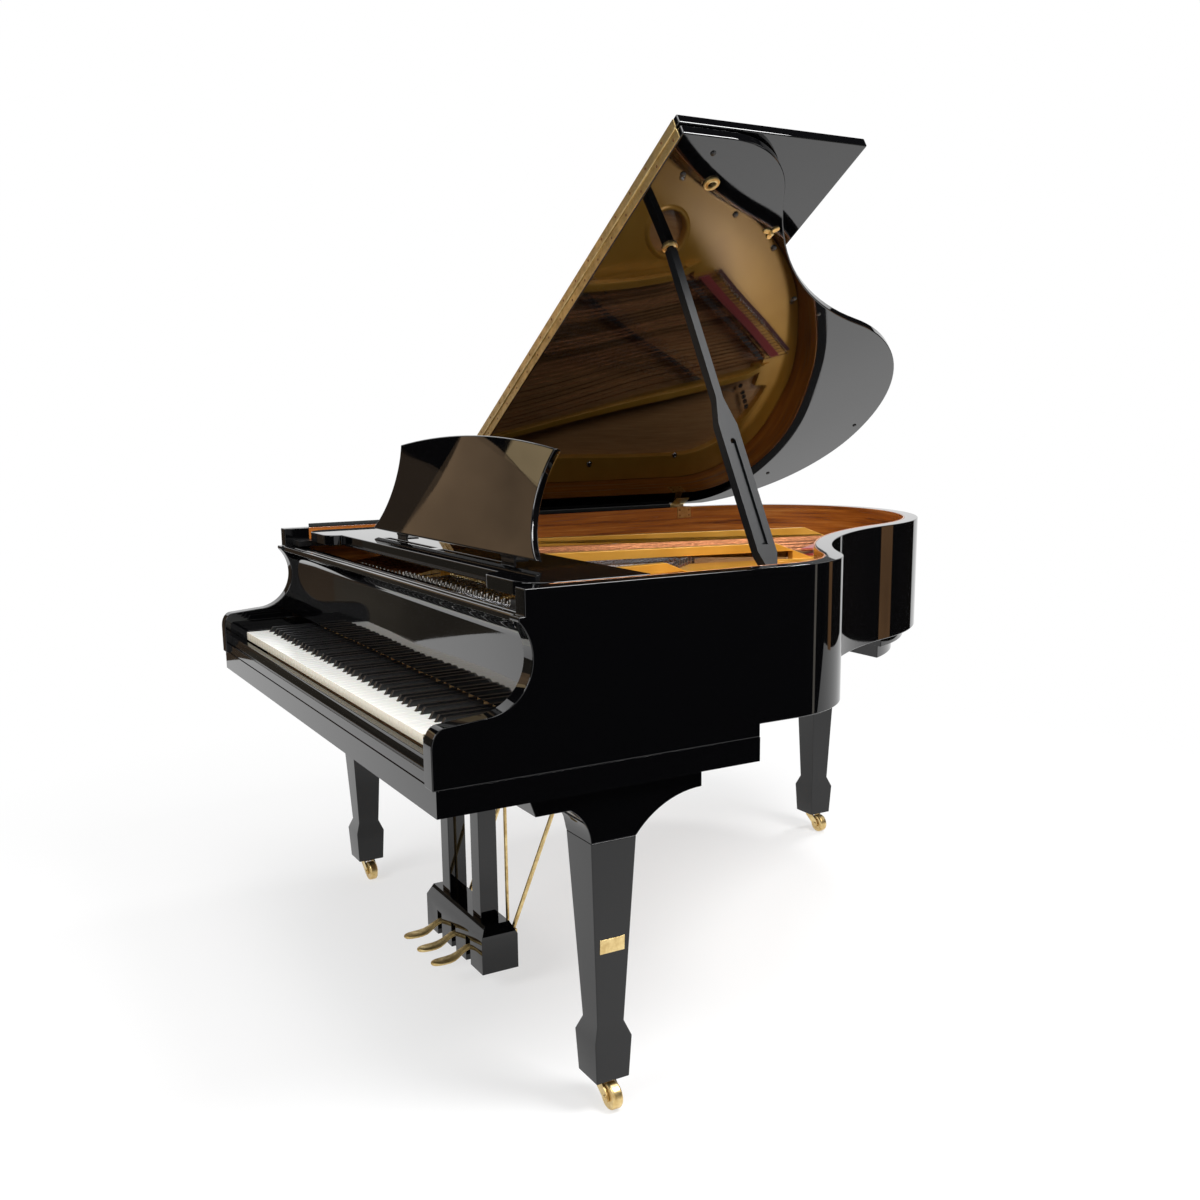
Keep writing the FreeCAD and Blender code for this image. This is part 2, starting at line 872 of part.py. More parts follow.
def fallboard():
    half = cheek_inner - slide_gap
    back_foot = fallboard_foot_y + fallboard_thickness
    back_belly = fallboard_belly_y + fallboard_thickness
    lip_low = fallboard_top - fallboard_lip_height
    ledge_back = fallboard_lip_y + fallboard_ledge
    profile = [(fallboard_foot_y, fallboard_foot_z),
               ((fallboard_belly_y, fallboard_belly_z), (fallboard_lip_y, lip_low)),
               (fallboard_lip_y, fallboard_top), (ledge_back, fallboard_top), (ledge_back, lip_low),
               ((back_belly, fallboard_belly_z), (back_foot, fallboard_foot_z))]
    board = side_solid(profile, -half, half)
    reach = cheek_inner + fallboard_pin_depth - slide_gap
    pins = cylinder(fallboard_pin_radius, vector(-reach, fallboard_pivot_y, fallboard_pivot_z),
                    vector(reach, fallboard_pivot_y, fallboard_pivot_z))
    return board.fuse(pins).removeSplitter()


# Legs, corbels and casters
def square(half, z):
    corners = [vector(x, y, z) for x, y in ((-half, -half), (half, -half), (half, half), (-half, half))]
    return Part.makePolygon(corners + corners[:1])


def leg_at(x, y, top):
    wires = [square(foot_bottom_half, foot_bottom), square(foot_top_half, foot_top),
             square(leg_neck_half, leg_neck), square(leg_top_half, top)]
    leg = Part.makeLoft(wires, True, True)
    hole = cylinder(sleeve_radius + glue_gap, vector(0, 0, foot_bottom - overrun),
                    vector(0, 0, foot_bottom + sleeve_length + glue_gap))
    leg = leg.cut(hole)
    leg.translate(vector(x, y, 0))
    return leg


def corbel_pieces():
    front = front_leg_y - corbel_front
    back = front_leg_y + corbel_back
    leg_front = front_leg_y - leg_top_half
    leg_back = front_leg_y + leg_top_half
    shelf_z = key_bed_bottom - corbel_drop
    flat_end = front + corbel_flat
    bow_z = leg_top + (shelf_z - leg_top) * (1 - corbel_bow_share)
    front_middle = (leg_front - (leg_front - flat_end) * corbel_bow_share, bow_z)
    back_middle = (leg_back + (back - leg_back) * corbel_bow_share, bow_z)
    profile = [(front, key_bed_bottom), (front + corbel_sag, shelf_z), (flat_end, shelf_z),
               (front_middle, (leg_front, leg_top)), (leg_back, leg_top),
               (back_middle, (back, shelf_z)), (back, key_bed_bottom)]
    web = side_solid(profile, front_leg_x - corbel_half, front_leg_x + corbel_half)
    high_x = front_leg_x - corbel_half - glue_gap
    end_x = high_x - inner_corbel_reach
    inner_middle = (high_x - inner_corbel_reach * corbel_bow_share,
                    leg_top + (key_bed_bottom - leg_top) * (1 - corbel_bow_share))
    inner_profile = [(high_x, leg_top), (inner_middle, (end_x, key_bed_bottom)), (high_x, key_bed_bottom)]
    return [web, front_solid(inner_profile, leg_front, leg_back)]


def tail_blocks():
    upper_low = rim_bottom - tail_block_step
    lower_low = upper_low - tail_block_thickness
    blocks = []
    for step, low, high in ((0, upper_low, rim_bottom), (tail_block_step, lower_low, upper_low)):
        board = plan_solid(tail_block_inset + step, belly_rail_y, low, high)
        keep = box(-half_width, half_width, tail_block_front + step, case_length, low, high)
        blocks.append(board.common(keep))
    return blocks


tail_leg_top = rim_bottom - tail_block_step - tail_block_thickness
leg_places = {"treble": (front_leg_x, front_leg_y), "bass": (-front_leg_x, front_leg_y),
              "tail": (tail_leg_x, tail_leg_y)}


def caster_socket(x, y):
    low = foot_bottom - socket_thickness
    plate = cylinder(socket_radius, vector(x, y, low), vector(x, y, foot_bottom))
    sleeve = cylinder(sleeve_radius, vector(x, y, low), vector(x, y, foot_bottom + sleeve_length))
    bore = cylinder(stem_radius + running_gap, vector(x, y, low - overrun),
                    vector(x, y, low + stem_length + slide_gap))
    return plate.fuse(sleeve).cut(bore)


def caster_fork(x, y):
    crown_top = foot_bottom - socket_thickness - slide_gap
    crown_low = crown_top - fork_crown
    inner = wheel_width / 2 + slide_gap * 2
    outer = inner + fork_wall
    wheel_x = x + fork_trail
    crown_front = wheel_x - wheel_radius - slide_gap
    crown = box(x - fork_half, crown_front, y - outer, y + outer, crown_low, crown_top)
    points = [(x - fork_half, crown_low), (wheel_x - fork_boss, wheel_radius - fork_boss / 2),
              ((wheel_x, wheel_radius - fork_boss), (wheel_x + fork_boss, wheel_radius)),
              (wheel_x + fork_boss / 2, wheel_radius + fork_boss), (x + fork_half, crown_top),
              (x - fork_half, crown_top)]
    solids = [crown]
    solids.append(front_solid(points, y - outer, y - inner))
    solids.append(front_solid(points, y + inner, y + outer))
    solids.append(cylinder(axle_radius, vector(wheel_x, y - outer, wheel_radius),
                           vector(wheel_x, y + outer, wheel_radius)))
    solids.append(cylinder(stem_radius, vector(x, y, crown_low), vector(x, y, crown_top + stem_length)))
    return join(solids)


def caster_wheel(x, y):
    half = wheel_width / 2
    wheel_x = x + fork_trail
    wheel = cylinder(wheel_radius, vector(wheel_x, y - half, wheel_radius),
                     vector(wheel_x, y + half, wheel_radius))
    wheel = wheel.makeFillet(wheel_round, wheel.Edges[:1] + wheel.Edges[2:3])
    bore = cylinder(axle_radius + running_gap, vector(wheel_x, y - overrun, wheel_radius),
                    vector(wheel_x, y + overrun, wheel_radius))
    return wheel.cut(bore)


def leg_plaque():
    z = leg_top - plaque_drop
    taper = (leg_top_half - leg_neck_half) / (leg_top - leg_neck)
    face_x = front_leg_x + leg_top_half - plaque_drop * taper
    lean = math.degrees(math.atan(taper))
    plate = box(face_x, face_x + plaque_thickness, front_leg_y - plaque_width, front_leg_y + plaque_width,
                z - plaque_height, z + plaque_height)
    plate.rotate(vector(face_x, front_leg_y, z), vector(0, 1, 0), lean)
    return plate


# Lyre and pedals
def pedal_places():
    return (-pedal_spacing, 0, pedal_spacing)


def rod_y():
    return lyre_front + pedal_pivot + pedal_tail - rod_radius * 2


def lyre_box():
    back = lyre_front + lyre_depth
    top = lyre_bottom + lyre_height
    shoulder = top - lyre_moulding * 2
    body = box(-lyre_half, lyre_half, lyre_front, back, lyre_bottom, shoulder)
    lower = [vector(x, y, shoulder) for x, y in ((-lyre_half, lyre_front), (lyre_half, lyre_front),
                                                 (lyre_half, back), (-lyre_half, back))]
    upper = [vector(x, y, top) for x, y in ((lyre_moulding - lyre_half, lyre_front + lyre_moulding),
                                            (lyre_half - lyre_moulding, lyre_front + lyre_moulding),
                                            (lyre_half - lyre_moulding, back - lyre_moulding),
                                            (lyre_moulding - lyre_half, back - lyre_moulding))]
    wires = [Part.makePolygon(lower + lower[:1]), Part.makePolygon(upper + upper[:1])]
    cap = Part.makeLoft(wires, True, True)
    whole = body.fuse(cap)
    pivot_y = lyre_front + pedal_pivot
    for x in pedal_places():
        half = pedal_slot_width / 2
        whole = whole.cut(box(x - half, x + half, lyre_front - overrun, back + overrun,
                              lyre_bottom - overrun, lyre_bottom + pedal_slot_height))
        reach = half + pedal_pin_depth
        whole = whole.cut(cylinder(pedal_pin_radius + running_gap, vector(x - reach, pivot_y, pedal_height),
                                   vector(x + reach, pivot_y, pedal_height)))
    return whole.removeSplitter()


def lyre_frame():
    low = lyre_bottom + lyre_height
    middle = lyre_front + lyre_depth / 2
    half = lyre_post_width / 2
    head_low = key_bed_bottom - lyre_head_thickness
    head_back = rod_y() - rod_radius * 2
    solids = [box(-lyre_head_half, lyre_head_half, lyre_front, head_back, head_low, key_bed_bottom)]
    for x in (-lyre_post_x, lyre_post_x):
        solids.append(box(x - half, x + half, middle - lyre_post_depth / 2, middle + lyre_post_depth / 2,
                          low, head_low))
    return join(solids)


def lyre_braces():
    back = lyre_front + lyre_depth
    braces = []
    for x in (-brace_x, brace_x):
        low_foot = box(x - brace_foot, x + brace_foot, back, back + brace_foot, brace_low - brace_foot,
                       brace_low)
        high_foot = box(x - brace_foot, x + brace_foot, brace_top_y - brace_foot, brace_top_y + brace_foot,
                        key_bed_bottom - brace_foot, key_bed_bottom)
        rod = cylinder(brace_radius, vector(x, back + brace_foot / 2, brace_low - brace_foot / 2),
                       vector(x, brace_top_y, key_bed_bottom - brace_foot / 2))
        braces.append(join([low_foot, high_foot, rod]))
    return braces


def pedal(x):
    pivot_y = lyre_front + pedal_pivot
    tip_y = lyre_front - pedal_reach
    neck_y = tip_y + pedal_foot_length
    tail_y = pivot_y + pedal_tail
    half = pedal_thickness / 2
    low = pedal_height - pedal_drop
    under = pedal_height - half
    over = pedal_height + half
    profile = [(tip_y, low - half), (neck_y, low - half), (lyre_front, under), (tail_y, under),
               (tail_y, over), (lyre_front, over), (neck_y, low + half), (tip_y, low + half)]
    side = side_solid(profile, x - pedal_foot_width / 2, x + pedal_foot_width / 2)
    foot = pedal_foot_width / 2
    waist = pedal_width / 2
    shape = [(x - waist, tail_y), (x - waist, lyre_front), ((x - foot, neck_y), (x - foot, tip_y + foot)),
             ((x, tip_y), (x + foot, tip_y + foot)), ((x + foot, neck_y), (x + waist, lyre_front)),
             (x + waist, tail_y)]
    lever = side.common(top_solid(shape, low - overrun, pedal_height + overrun))
    reach = pedal_slot_width / 2 + pedal_pin_depth - slide_gap
    pin = cylinder(pedal_pin_radius, vector(x - reach, pivot_y, pedal_height),
                   vector(x + reach, pivot_y, pedal_height))
    return lever.fuse(pin).removeSplitter()


def pedal_rod(x):
    low = pedal_height + pedal_thickness / 2 + slide_gap
    return cylinder(rod_radius, vector(x, rod_y(), low), vector(x, rod_y(), key_bed_bottom + rod_entry))


# Music desk
def desk_shelf():
    # The two ends come forward as round wings, and the middle is set back between them
    share = 1 - heading(45)[0]
    mid_x = shelf_half - shelf_corner * share
    mid_y = shelf_front + shelf_corner * share
    corner_x = shelf_half - shelf_corner
    corner_y = shelf_front + shelf_corner
    bay_x = shelf_wing_x - shelf_recess
    bay_y = shelf_front + shelf_recess
    turn_x = shelf_wing_x - shelf_recess * (1 - share)
    turn_y = shelf_front + shelf_recess * share
    points = [(-shelf_half, shelf_back), (-shelf_half, corner_y), ((-mid_x, mid_y), (-corner_x, shelf_front)),
              (-shelf_wing_x, shelf_front), ((-turn_x, turn_y), (-bay_x, bay_y)), (bay_x, bay_y),
              ((turn_x, turn_y), (shelf_wing_x, shelf_front)), (corner_x, shelf_front),
              ((mid_x, mid_y), (shelf_half, corner_y)), (shelf_half, shelf_back)]
    board = top_solid(points, shelf_top - shelf_thickness, shelf_top)
    for low_x in (-shelf_slot_length - shelf_slot_gap / 2, shelf_slot_gap / 2):
        slit = box(low_x, low_x + shelf_slot_length, shelf_slot_y - shelf_slot_width, shelf_slot_y,
                   shelf_top - shelf_thickness - overrun, shelf_top + overrun)
        board = board.cut(slit)
    return board


def desk_rails():
    high = shelf_top - shelf_thickness - slide_gap
    outer = cheek_inner - glue_gap
    rail = box(outer - desk_rail_width, outer, cheek_face_y + overrun, veneer_front - glue_gap,
               high - desk_rail_thickness, high)
    inner = outer - veneer_thickness - glue_gap
    back = box(inner - desk_rail_width, inner, veneer_front, shelf_back + desk_travel,
               high - desk_rail_thickness, high)
    return [rail, mirrored(rail), back, mirrored(back)]


desk_back = desk_hinge_radius + slide_gap * 2
desk_axis_y = desk_bottom_y + desk_back
desk_axis_z = shelf_top + desk_lift


def lean_desk(solid):
    solid.rotate(vector(0, desk_axis_y, desk_axis_z), vector(1, 0, 0), -desk_lean)
    return solid


def desk_panel():
    base = desk_axis_z
    points = [(-desk_bottom_half, base), (desk_bottom_half, base),
              ((desk_waist_half, base + desk_waist_height), (desk_top_half, base + desk_corner_height)),
              ((0, base + desk_height), (-desk_top_half, base + desk_corner_height)),
              ((-desk_waist_half, base + desk_waist_height), (-desk_bottom_half, base))]
    panel = front_solid(points, desk_axis_y - desk_back - desk_thickness, desk_axis_y - desk_back)
    return lean_desk(panel)


def desk_hinges():
    hinges = []
    half = desk_hinge_length / 2
    for x in (-desk_hinge_x, desk_hinge_x):
        y = desk_axis_y
        barrel = cylinder(desk_hinge_radius, vector(x - half, y, desk_axis_z),
                          vector(x + half, y, desk_axis_z))
        leaf = box(x - half, x + half, y, y + desk_hinge_length / 2, shelf_top, shelf_top + desk_hinge_leaf)
        post = box(x - half, x + half, y - desk_hinge_radius / 2, y + desk_hinge_radius / 2,
                   shelf_top, desk_axis_z)
        hinges.append(join([barrel, leaf, post]))
    return hinges


# Lid, modelled closed and then turned open about its hinge line
lid_axis_x = -half_width - lid_pin_offset
lid_axis_z = rim_top + lid_pin_lift


def open_lid(solid):
    solid.rotate(vector(lid_axis_x, 0, lid_axis_z), vector(0, 1, 0), -lid_open)
    return solid


flap_axis_y = lid_split
flap_axis_z = lid_top + flap_barrel_radius + flap_barrel_gap
flap_edge = flap_leaf_gap + flap_leaf_thickness


def lid_board(front_y):
    board = plan_solid(-lid_overhang, front_y, lid_bottom, lid_top)
    spine = box(-half_width - overrun, -half_width, front_y - overrun, case_length + overrun,
                lid_bottom - overrun, lid_top + overrun)
    return board.cut(spine)


def lid_main():
    return open_lid(lid_board(flap_axis_y + flap_edge))


def lid_flap():
    board = lid_board(cheek_face_y - lid_overhang)
    rest = box(-half_width - overrun, half_width + overrun, flap_axis_y - flap_edge, case_length + overrun,
               lid_bottom - overrun, lid_top + overrun)
    flap = board.cut(rest)
    # Turned over onto the main lid, hinge edge to the front
    flap.rotate(vector(0, flap_axis_y, flap_axis_z), vector(1, 0, 0), -180)
    return open_lid(flap)


def flap_leaf(first):
    low_x = -half_width + lid_overhang
    high_x = half_width - lid_overhang
    back = flap_axis_y + flap_edge
    plate_top = flap_axis_z - flap_barrel_radius - flap_barrel_gap
    solids = [box(low_x, high_x, back - flap_leaf_thickness, back, lid_bottom + flap_leaf_thickness,
                  plate_top)]
    step = (high_x - low_x) / flap_segment_count
    for number in range(first, flap_segment_count, 2):
        start = low_x + number * step + flap_barrel_gap
        end = start + step - 2 * flap_barrel_gap
        solids.append(cylinder(flap_barrel_radius, vector(start, flap_axis_y, flap_axis_z),
                               vector(end, flap_axis_y, flap_axis_z)))
        solids.append(box(start, end, back - flap_leaf_thickness, back, plate_top, flap_axis_z))
    return join(solids)


def main_leaf():
    return open_lid(flap_leaf(0))


def folded_leaf():
    leaf = flap_leaf(1)
    # Mirror the leaf about the hinge pin's level: the folded flap lies upside down on the main lid
    leaf = leaf.mirror(vector(0, flap_axis_y, flap_axis_z), vector(0, 0, 1))
    return open_lid(leaf)


def lid_hinge_places():
    spine = case_length - tail_bass_radius
    return [share * spine for share in lid_hinge_y_shares]


def lid_hinge_lower():
    hinges = []
    half = lid_hinge_length / 2
    quarter = half / 2
    inner = -cheek_inner + glue_gap * 2 + veneer_thickness
    for y in lid_hinge_places():
        pin = cylinder(lid_pin_radius, vector(lid_axis_x, y - half, lid_axis_z),
                       vector(lid_axis_x, y + half, lid_axis_z))
        strap = box(lid_axis_x, inner + lid_leaf_thickness, y - quarter, y + quarter, rim_top,
                    rim_top + lid_leaf_thickness)
        plate = box(inner, inner + lid_leaf_thickness, y - half, y + half, rim_top - lid_hinge_plate,
                    rim_top + lid_leaf_thickness)
        hinges.append(join([pin, strap, plate]))
    return hinges


def lid_hinge_upper():
    hinges = []
    half = lid_hinge_length / 2
    for y in lid_hinge_places():
        solids = [box(-half_width, lid_hinge_leaf - half_width, y - half, y + half,
                      lid_bottom - lid_leaf_thickness, lid_bottom)]
        for low_y in (y - half, y + half / 2 + slide_gap):
            high_y = low_y + half / 2 - slide_gap
            solids.append(box(lid_axis_x, -half_width, low_y, high_y,
                              lid_bottom - lid_leaf_thickness, lid_bottom))
            solids.append(cylinder(lid_barrel_radius, vector(lid_axis_x, low_y, lid_axis_z),
                                   vector(lid_axis_x, high_y, lid_axis_z)))
        bore = cylinder(lid_pin_radius + running_gap, vector(lid_axis_x, y - half - overrun, lid_axis_z),
                        vector(lid_axis_x, y + half + overrun, lid_axis_z))
        hinges.append(open_lid(join(solids).cut(bore)))
    return hinges


def lid_cups():
    cups = []
    for x, y in ((prop_cup_x, prop_cup_y), (short_cup_x, short_cup_y)):
        ring = cylinder(cup_radius, vector(x, y, lid_bottom - cup_thickness), vector(x, y, lid_bottom))
        bore = cylinder(cup_bore, vector(x, y, lid_bottom - cup_thickness - overrun),
                        vector(x, y, lid_bottom))
        cups.append(open_lid(ring.cut(bore)))
    return cups


# Prop: a wide slotted lower part, a taper and a slim upper stick, from its pin to the lid's cup
prop_foot = vector(prop_pivot_x, prop_pivot_y, rim_top - prop_pivot_drop)
cup_turn = math.radians(lid_open)
cup_run = prop_cup_x - lid_axis_x
cup_rise = lid_bottom - prop_tip_gap - lid_axis_z
prop_tip = vector(lid_axis_x + cup_run * math.cos(cup_turn) - cup_rise * math.sin(cup_turn), prop_cup_y,
                  lid_axis_z + cup_run * math.sin(cup_turn) + cup_rise * math.cos(cup_turn))
prop_length = (prop_tip - prop_foot).Length
prop_along = (prop_tip - prop_foot).normalize()
fold_x, fold_y = heading(prop_fold_heading)
prop_pin_along = prop_along.cross(vector(fold_x, fold_y, 0)).normalize()
prop_lean = prop_along.x
prop_normal = (vector(1, 0, 0) - prop_along * prop_lean).normalize()
prop_across = prop_normal.cross(prop_along).normalize()
pin_local = vector(prop_pin_along.dot(prop_across), prop_pin_along.dot(prop_normal), 0)


def prop_place(solid):
    # The stick is drawn along +Z with its width along +X, then set on its three directions.
    # Its wide face looks to the treble side, while the pin runs askew so that it folds inside the rim.
    turn = FreeCAD.Rotation(prop_across, prop_normal, prop_along, "ZXY")
    solid.Placement = FreeCAD.Placement(prop_foot, turn).multiply(solid.Placement)
    return solid


def prop_stick():
    wide = prop_width / 2
    slim = prop_tip_width / 2
    neck = prop_neck_width / 2
    half = prop_thickness / 2
    taper_end = prop_wide_length + prop_taper_length
    nose_start = prop_length - prop_nose_length
    points = [(-neck, 0), (neck, 0), (wide, prop_neck_length), (wide, prop_wide_length), (slim, taper_end),
              (slim, nose_start), (-slim, nose_start), (-slim, taper_end), (-wide, prop_wide_length),
              (-wide, prop_neck_length)]
    stick = front_solid(points, -half, half)
    nose = cylinder(prop_nose_radius, vector(0, 0, nose_start), vector(0, 0, prop_length))
    boss = cylinder(prop_boss_radius, pin_local * -prop_boss_half, pin_local * prop_boss_half)
    room = prop_boss_half + overrun
    pin = cylinder(prop_pin_radius + running_gap, pin_local * -room, pin_local * room)
    slot = box(-prop_slot_width / 2, prop_slot_width / 2, -half - overrun, half + overrun,
               prop_slot_start, prop_slot_start + prop_slot_length)
    slot_end = prop_slot_start + prop_slot_length
    slot = slot.fuse(cylinder(prop_slot_width / 2, vector(0, -half - overrun, slot_end),
                              vector(0, half + overrun, slot_end)))
    hinge_z = prop_slot_start + prop_slot_width / 2
    short_pin = cylinder(short_prop_pin_radius, vector(-prop_slot_width / 2, 0, hinge_z),
                         vector(prop_slot_width / 2, 0, hinge_z))
    return prop_place(join([stick, nose, boss]).cut(pin).cut(slot).fuse(short_pin).removeSplitter())


def short_prop():
    half = prop_slot_width / 2 - short_prop_clearance
    deep = prop_slot_width / 2 - short_prop_play
    hinge_z = prop_slot_start + prop_slot_width / 2
    end = prop_slot_start + prop_slot_length - short_prop_play
    bar = side_solid([(deep, hinge_z), (deep, end), (-deep, end), (-deep, hinge_z),
                      ((0, hinge_z - deep), (deep, hinge_z))], -half, half)
    bore = cylinder(short_prop_pin_radius + running_gap, vector(-overrun, 0, hinge_z),
                    vector(overrun, 0, hinge_z))
    return prop_place(bar.cut(bore))


def prop_bracket():
    # A block on the rim, cut off square to the pin beside the stick's boss
    face = prop_boss_half + slide_gap
    block = box(prop_pivot_x + prop_block_side, half_width, prop_pivot_y - prop_block_front,
                prop_pivot_y + prop_block_back, prop_foot.z - prop_block_drop, prop_foot.z + prop_block_rise)
    inside = plan_solid(rim_thickness + veneer_thickness + 2 * glue_gap, veneer_front, veneer_bottom, rim_top)
    centre = prop_foot + prop_pin_along * (prop_block_room - face)
    beside = cylinder(prop_block_room, centre - prop_pin_along * prop_block_room,
                      centre + prop_pin_along * prop_block_room)
    pin = cylinder(prop_pin_radius, prop_foot - prop_pin_along * (face + prop_pin_depth),
                   prop_foot + prop_pin_along * prop_boss_half)
    return block.common(inside).cut(beside).fuse(pin).removeSplitter()


os.makedirs("parts", exist_ok=True)

write("outer_rim", outer_rim())
write("rim_veneer", rim_veneer())
write("inner_rim", inner_rim())
write("belly_rail", belly_rail())
write("back_beams", back_beams())
write("soundboard", soundboard())
write("soundboard_ribs", soundboard_ribs())
write("bridges", bridges())
write("iron_plate", iron_plate())
write("pin_block", pin_block())
write("tuning_pins", tuning_pins())
write("plain_strings", strings(range(wound_count, note_count), string_radius))
write("wound_strings", strings(range(wound_count), wound_radius))
write("string_felt", string_felts())
write("dampers", dampers())
write("key_bed", key_bed())
write("key_slip", key_slip())
write("key_blocks", key_blocks())
write("natural_keys", natural_keys())
write("sharp_keys", sharp_keys())
write("action_frame", action_frame())
write("natural_hammers", hammers(True))
write("sharp_hammers", hammers(False))
write("fallboard", fallboard())
write("leg_corbels", corbel_pieces() + [mirrored(piece) for piece in corbel_pieces()])
write("tail_blocks", tail_blocks())
write("leg_plaque", leg_plaque())
for name, (x, y) in leg_places.items():
    write(name + "_leg", leg_at(x, y, tail_leg_top if name == "tail" else leg_top))
    write(name + "_caster_fork", caster_fork(x, y))
    write(name + "_caster_wheel", caster_wheel(x, y))
write("caster_sockets", [caster_socket(x, y) for x, y in leg_places.values()])
write("lyre_frame", lyre_frame())
write("lyre_box", lyre_box())
write("lyre_braces", lyre_braces())
for name, x in zip(("left", "middle", "right"), pedal_places()):
    write(name + "_pedal", pedal(x))
    write(name + "_pedal_rod", pedal_rod(x))
write("desk_shelf", desk_shelf())
write("desk_rails", desk_rails())
write("desk_panel", desk_panel())
write("desk_hinges", desk_hinges())
write("lid_main", lid_main())
write("lid_flap", lid_flap())
write("flap_hinge_main_leaf", main_leaf())
write("flap_hinge_flap_leaf", folded_leaf())
write("lid_hinge_lower", lid_hinge_lower())
write("lid_hinge_upper", lid_hinge_upper())
write("lid_cups", lid_cups())
write("prop_stick", prop_stick())
write("short_prop", short_prop())
write("prop_bracket", prop_bracket())
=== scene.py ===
import json
import math
import bmesh
import bpy
from mathutils import Matrix, Vector


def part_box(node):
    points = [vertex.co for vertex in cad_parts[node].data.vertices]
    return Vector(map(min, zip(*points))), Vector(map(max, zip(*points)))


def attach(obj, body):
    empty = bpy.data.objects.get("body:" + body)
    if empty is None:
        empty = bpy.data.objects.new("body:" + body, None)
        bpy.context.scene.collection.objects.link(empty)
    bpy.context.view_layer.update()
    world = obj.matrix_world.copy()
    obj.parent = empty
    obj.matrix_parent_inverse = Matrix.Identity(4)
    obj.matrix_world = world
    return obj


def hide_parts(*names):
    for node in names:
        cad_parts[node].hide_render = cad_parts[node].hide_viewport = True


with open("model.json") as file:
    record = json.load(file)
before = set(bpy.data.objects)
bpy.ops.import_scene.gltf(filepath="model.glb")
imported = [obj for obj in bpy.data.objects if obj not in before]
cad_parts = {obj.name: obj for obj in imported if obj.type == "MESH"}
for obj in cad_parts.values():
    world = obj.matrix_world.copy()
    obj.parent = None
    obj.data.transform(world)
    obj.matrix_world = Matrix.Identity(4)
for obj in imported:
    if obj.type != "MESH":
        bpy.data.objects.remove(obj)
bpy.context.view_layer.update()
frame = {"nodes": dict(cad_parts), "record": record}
print("frame loaded:", len(frame["nodes"]), "nodes")

# Lengths below are millimetres counted from the front of the arms; spot() turns them into the frame's metres.
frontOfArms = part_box("outer_rim")[0][1] * 1000
keyCoverEnd = 214  # key coverings stop here, behind the fallboard
weldGap, flatDeg = 2e-6, 0.4  # a CAD mesh is welded at this many metres, its flat faces joined below this angle
mixFirst, mixSecond, mixResult = 6, 7, 2  # the colour sockets of a mix node
up = Vector((0, 0, 1))


def spot(x, y, z):
    return Vector((x / 1000, (y + frontOfArms) / 1000, z / 1000))


def linear(hexText):
    channels = [int(hexText[i:i + 2], 16) / 255 for i in (1, 3, 5)]
    return tuple(c / 12.92 if c <= 0.04045 else ((c + 0.055) / 1.055) ** 2.4 for c in channels) + (1,)


def addNode(material, kind, sockets=None, **settings):
    node = material.node_tree.nodes.new(kind)
    for name, value in settings.items():
        setattr(node, name, value)
    for name, value in (sockets or {}).items():
        if isinstance(value, bpy.types.NodeSocket):
            material.node_tree.links.new(value, node.inputs[name])
        else:
            node.inputs[name].default_value = value
    return node


def newMaterial(name, **sockets):
    material = bpy.data.materials.new(name)
    material.use_nodes = True
    shader = material.node_tree.nodes["Principled BSDF"]
    for label, value in sockets.items():
        shader.inputs[label.replace("_", " ")].default_value = value
    return material, shader


def wire(material, output, target):
    material.node_tree.links.new(output, target)


def perMetre(sizeMm):
    return 1000 / sizeMm


# Polyester lacquer, sprayed and buffed: a deep black mirror with faint cloth marks
def makeBlackLacquer(name, gloss, coat=0.0, bowMm=0.0):
    material, shader = newMaterial(name, Base_Color=linear("#050506"), IOR=gloss, Coat_Weight=coat,
                                   Coat_Roughness=0.01, Coat_IOR=1.6)
    where = addNode(material, "ShaderNodeTexCoord")
    haze = addNode(material, "ShaderNodeTexNoise",
                   {"Vector": where.outputs["Object"], "Scale": perMetre(160), "Detail": 5.0, "Roughness": 0.6})
    rough = addNode(material, "ShaderNodeMapRange",
                    {"Value": haze.outputs["Fac"], "From Min": 0.35, "From Max": 0.75,
                     "To Min": 0.012, "To Max": 0.045})
    wire(material, rough.outputs["Result"], shader.inputs["Roughness"])
    peel = addNode(material, "ShaderNodeTexNoise",
                   {"Vector": where.outputs["Object"], "Scale": perMetre(14), "Detail": 1.0})
    bump = addNode(material, "ShaderNodeBump",
                   {"Height": peel.outputs["Fac"], "Strength": 0.006, "Distance": 0.001})
    wire(material, bump.outputs["Normal"], shader.inputs["Normal"])
    if bowMm:  # wide boards are never quite flat, so straight things bend in them
        bow = addNode(material, "ShaderNodeTexNoise",
                      {"Vector": where.outputs["Object"], "Scale": perMetre(420), "Detail": 0.0})
        bend = addNode(material, "ShaderNodeBump", {"Height": bow.outputs["Fac"], "Distance": bowMm / 1000})
        wire(material, bend.outputs["Normal"], bump.inputs["Normal"])
    return material


# Black stain under a thin satin lacquer, for the dampers, desk rails and small black fittings
def makeSatinBlack(name, tone, gloss=1.48):
    material, shader = newMaterial(name, Base_Color=linear(tone), IOR=gloss)
    where = addNode(material, "ShaderNodeTexCoord")
    grain = addNode(material, "ShaderNodeTexNoise",
                    {"Vector": where.outputs["Object"], "Scale": perMetre(6), "Detail": 4.0})
    rough = addNode(material, "ShaderNodeMapRange",
                    {"Value": grain.outputs["Fac"], "To Min": 0.28, "To Max": 0.46})
    wire(material, rough.outputs["Result"], shader.inputs["Roughness"])
    bump = addNode(material, "ShaderNodeBump", {"Height": grain.outputs["Fac"], "Strength": 0.05, "Distance": 0.0005})
    wire(material, bump.outputs["Normal"], shader.inputs["Normal"])
    return material


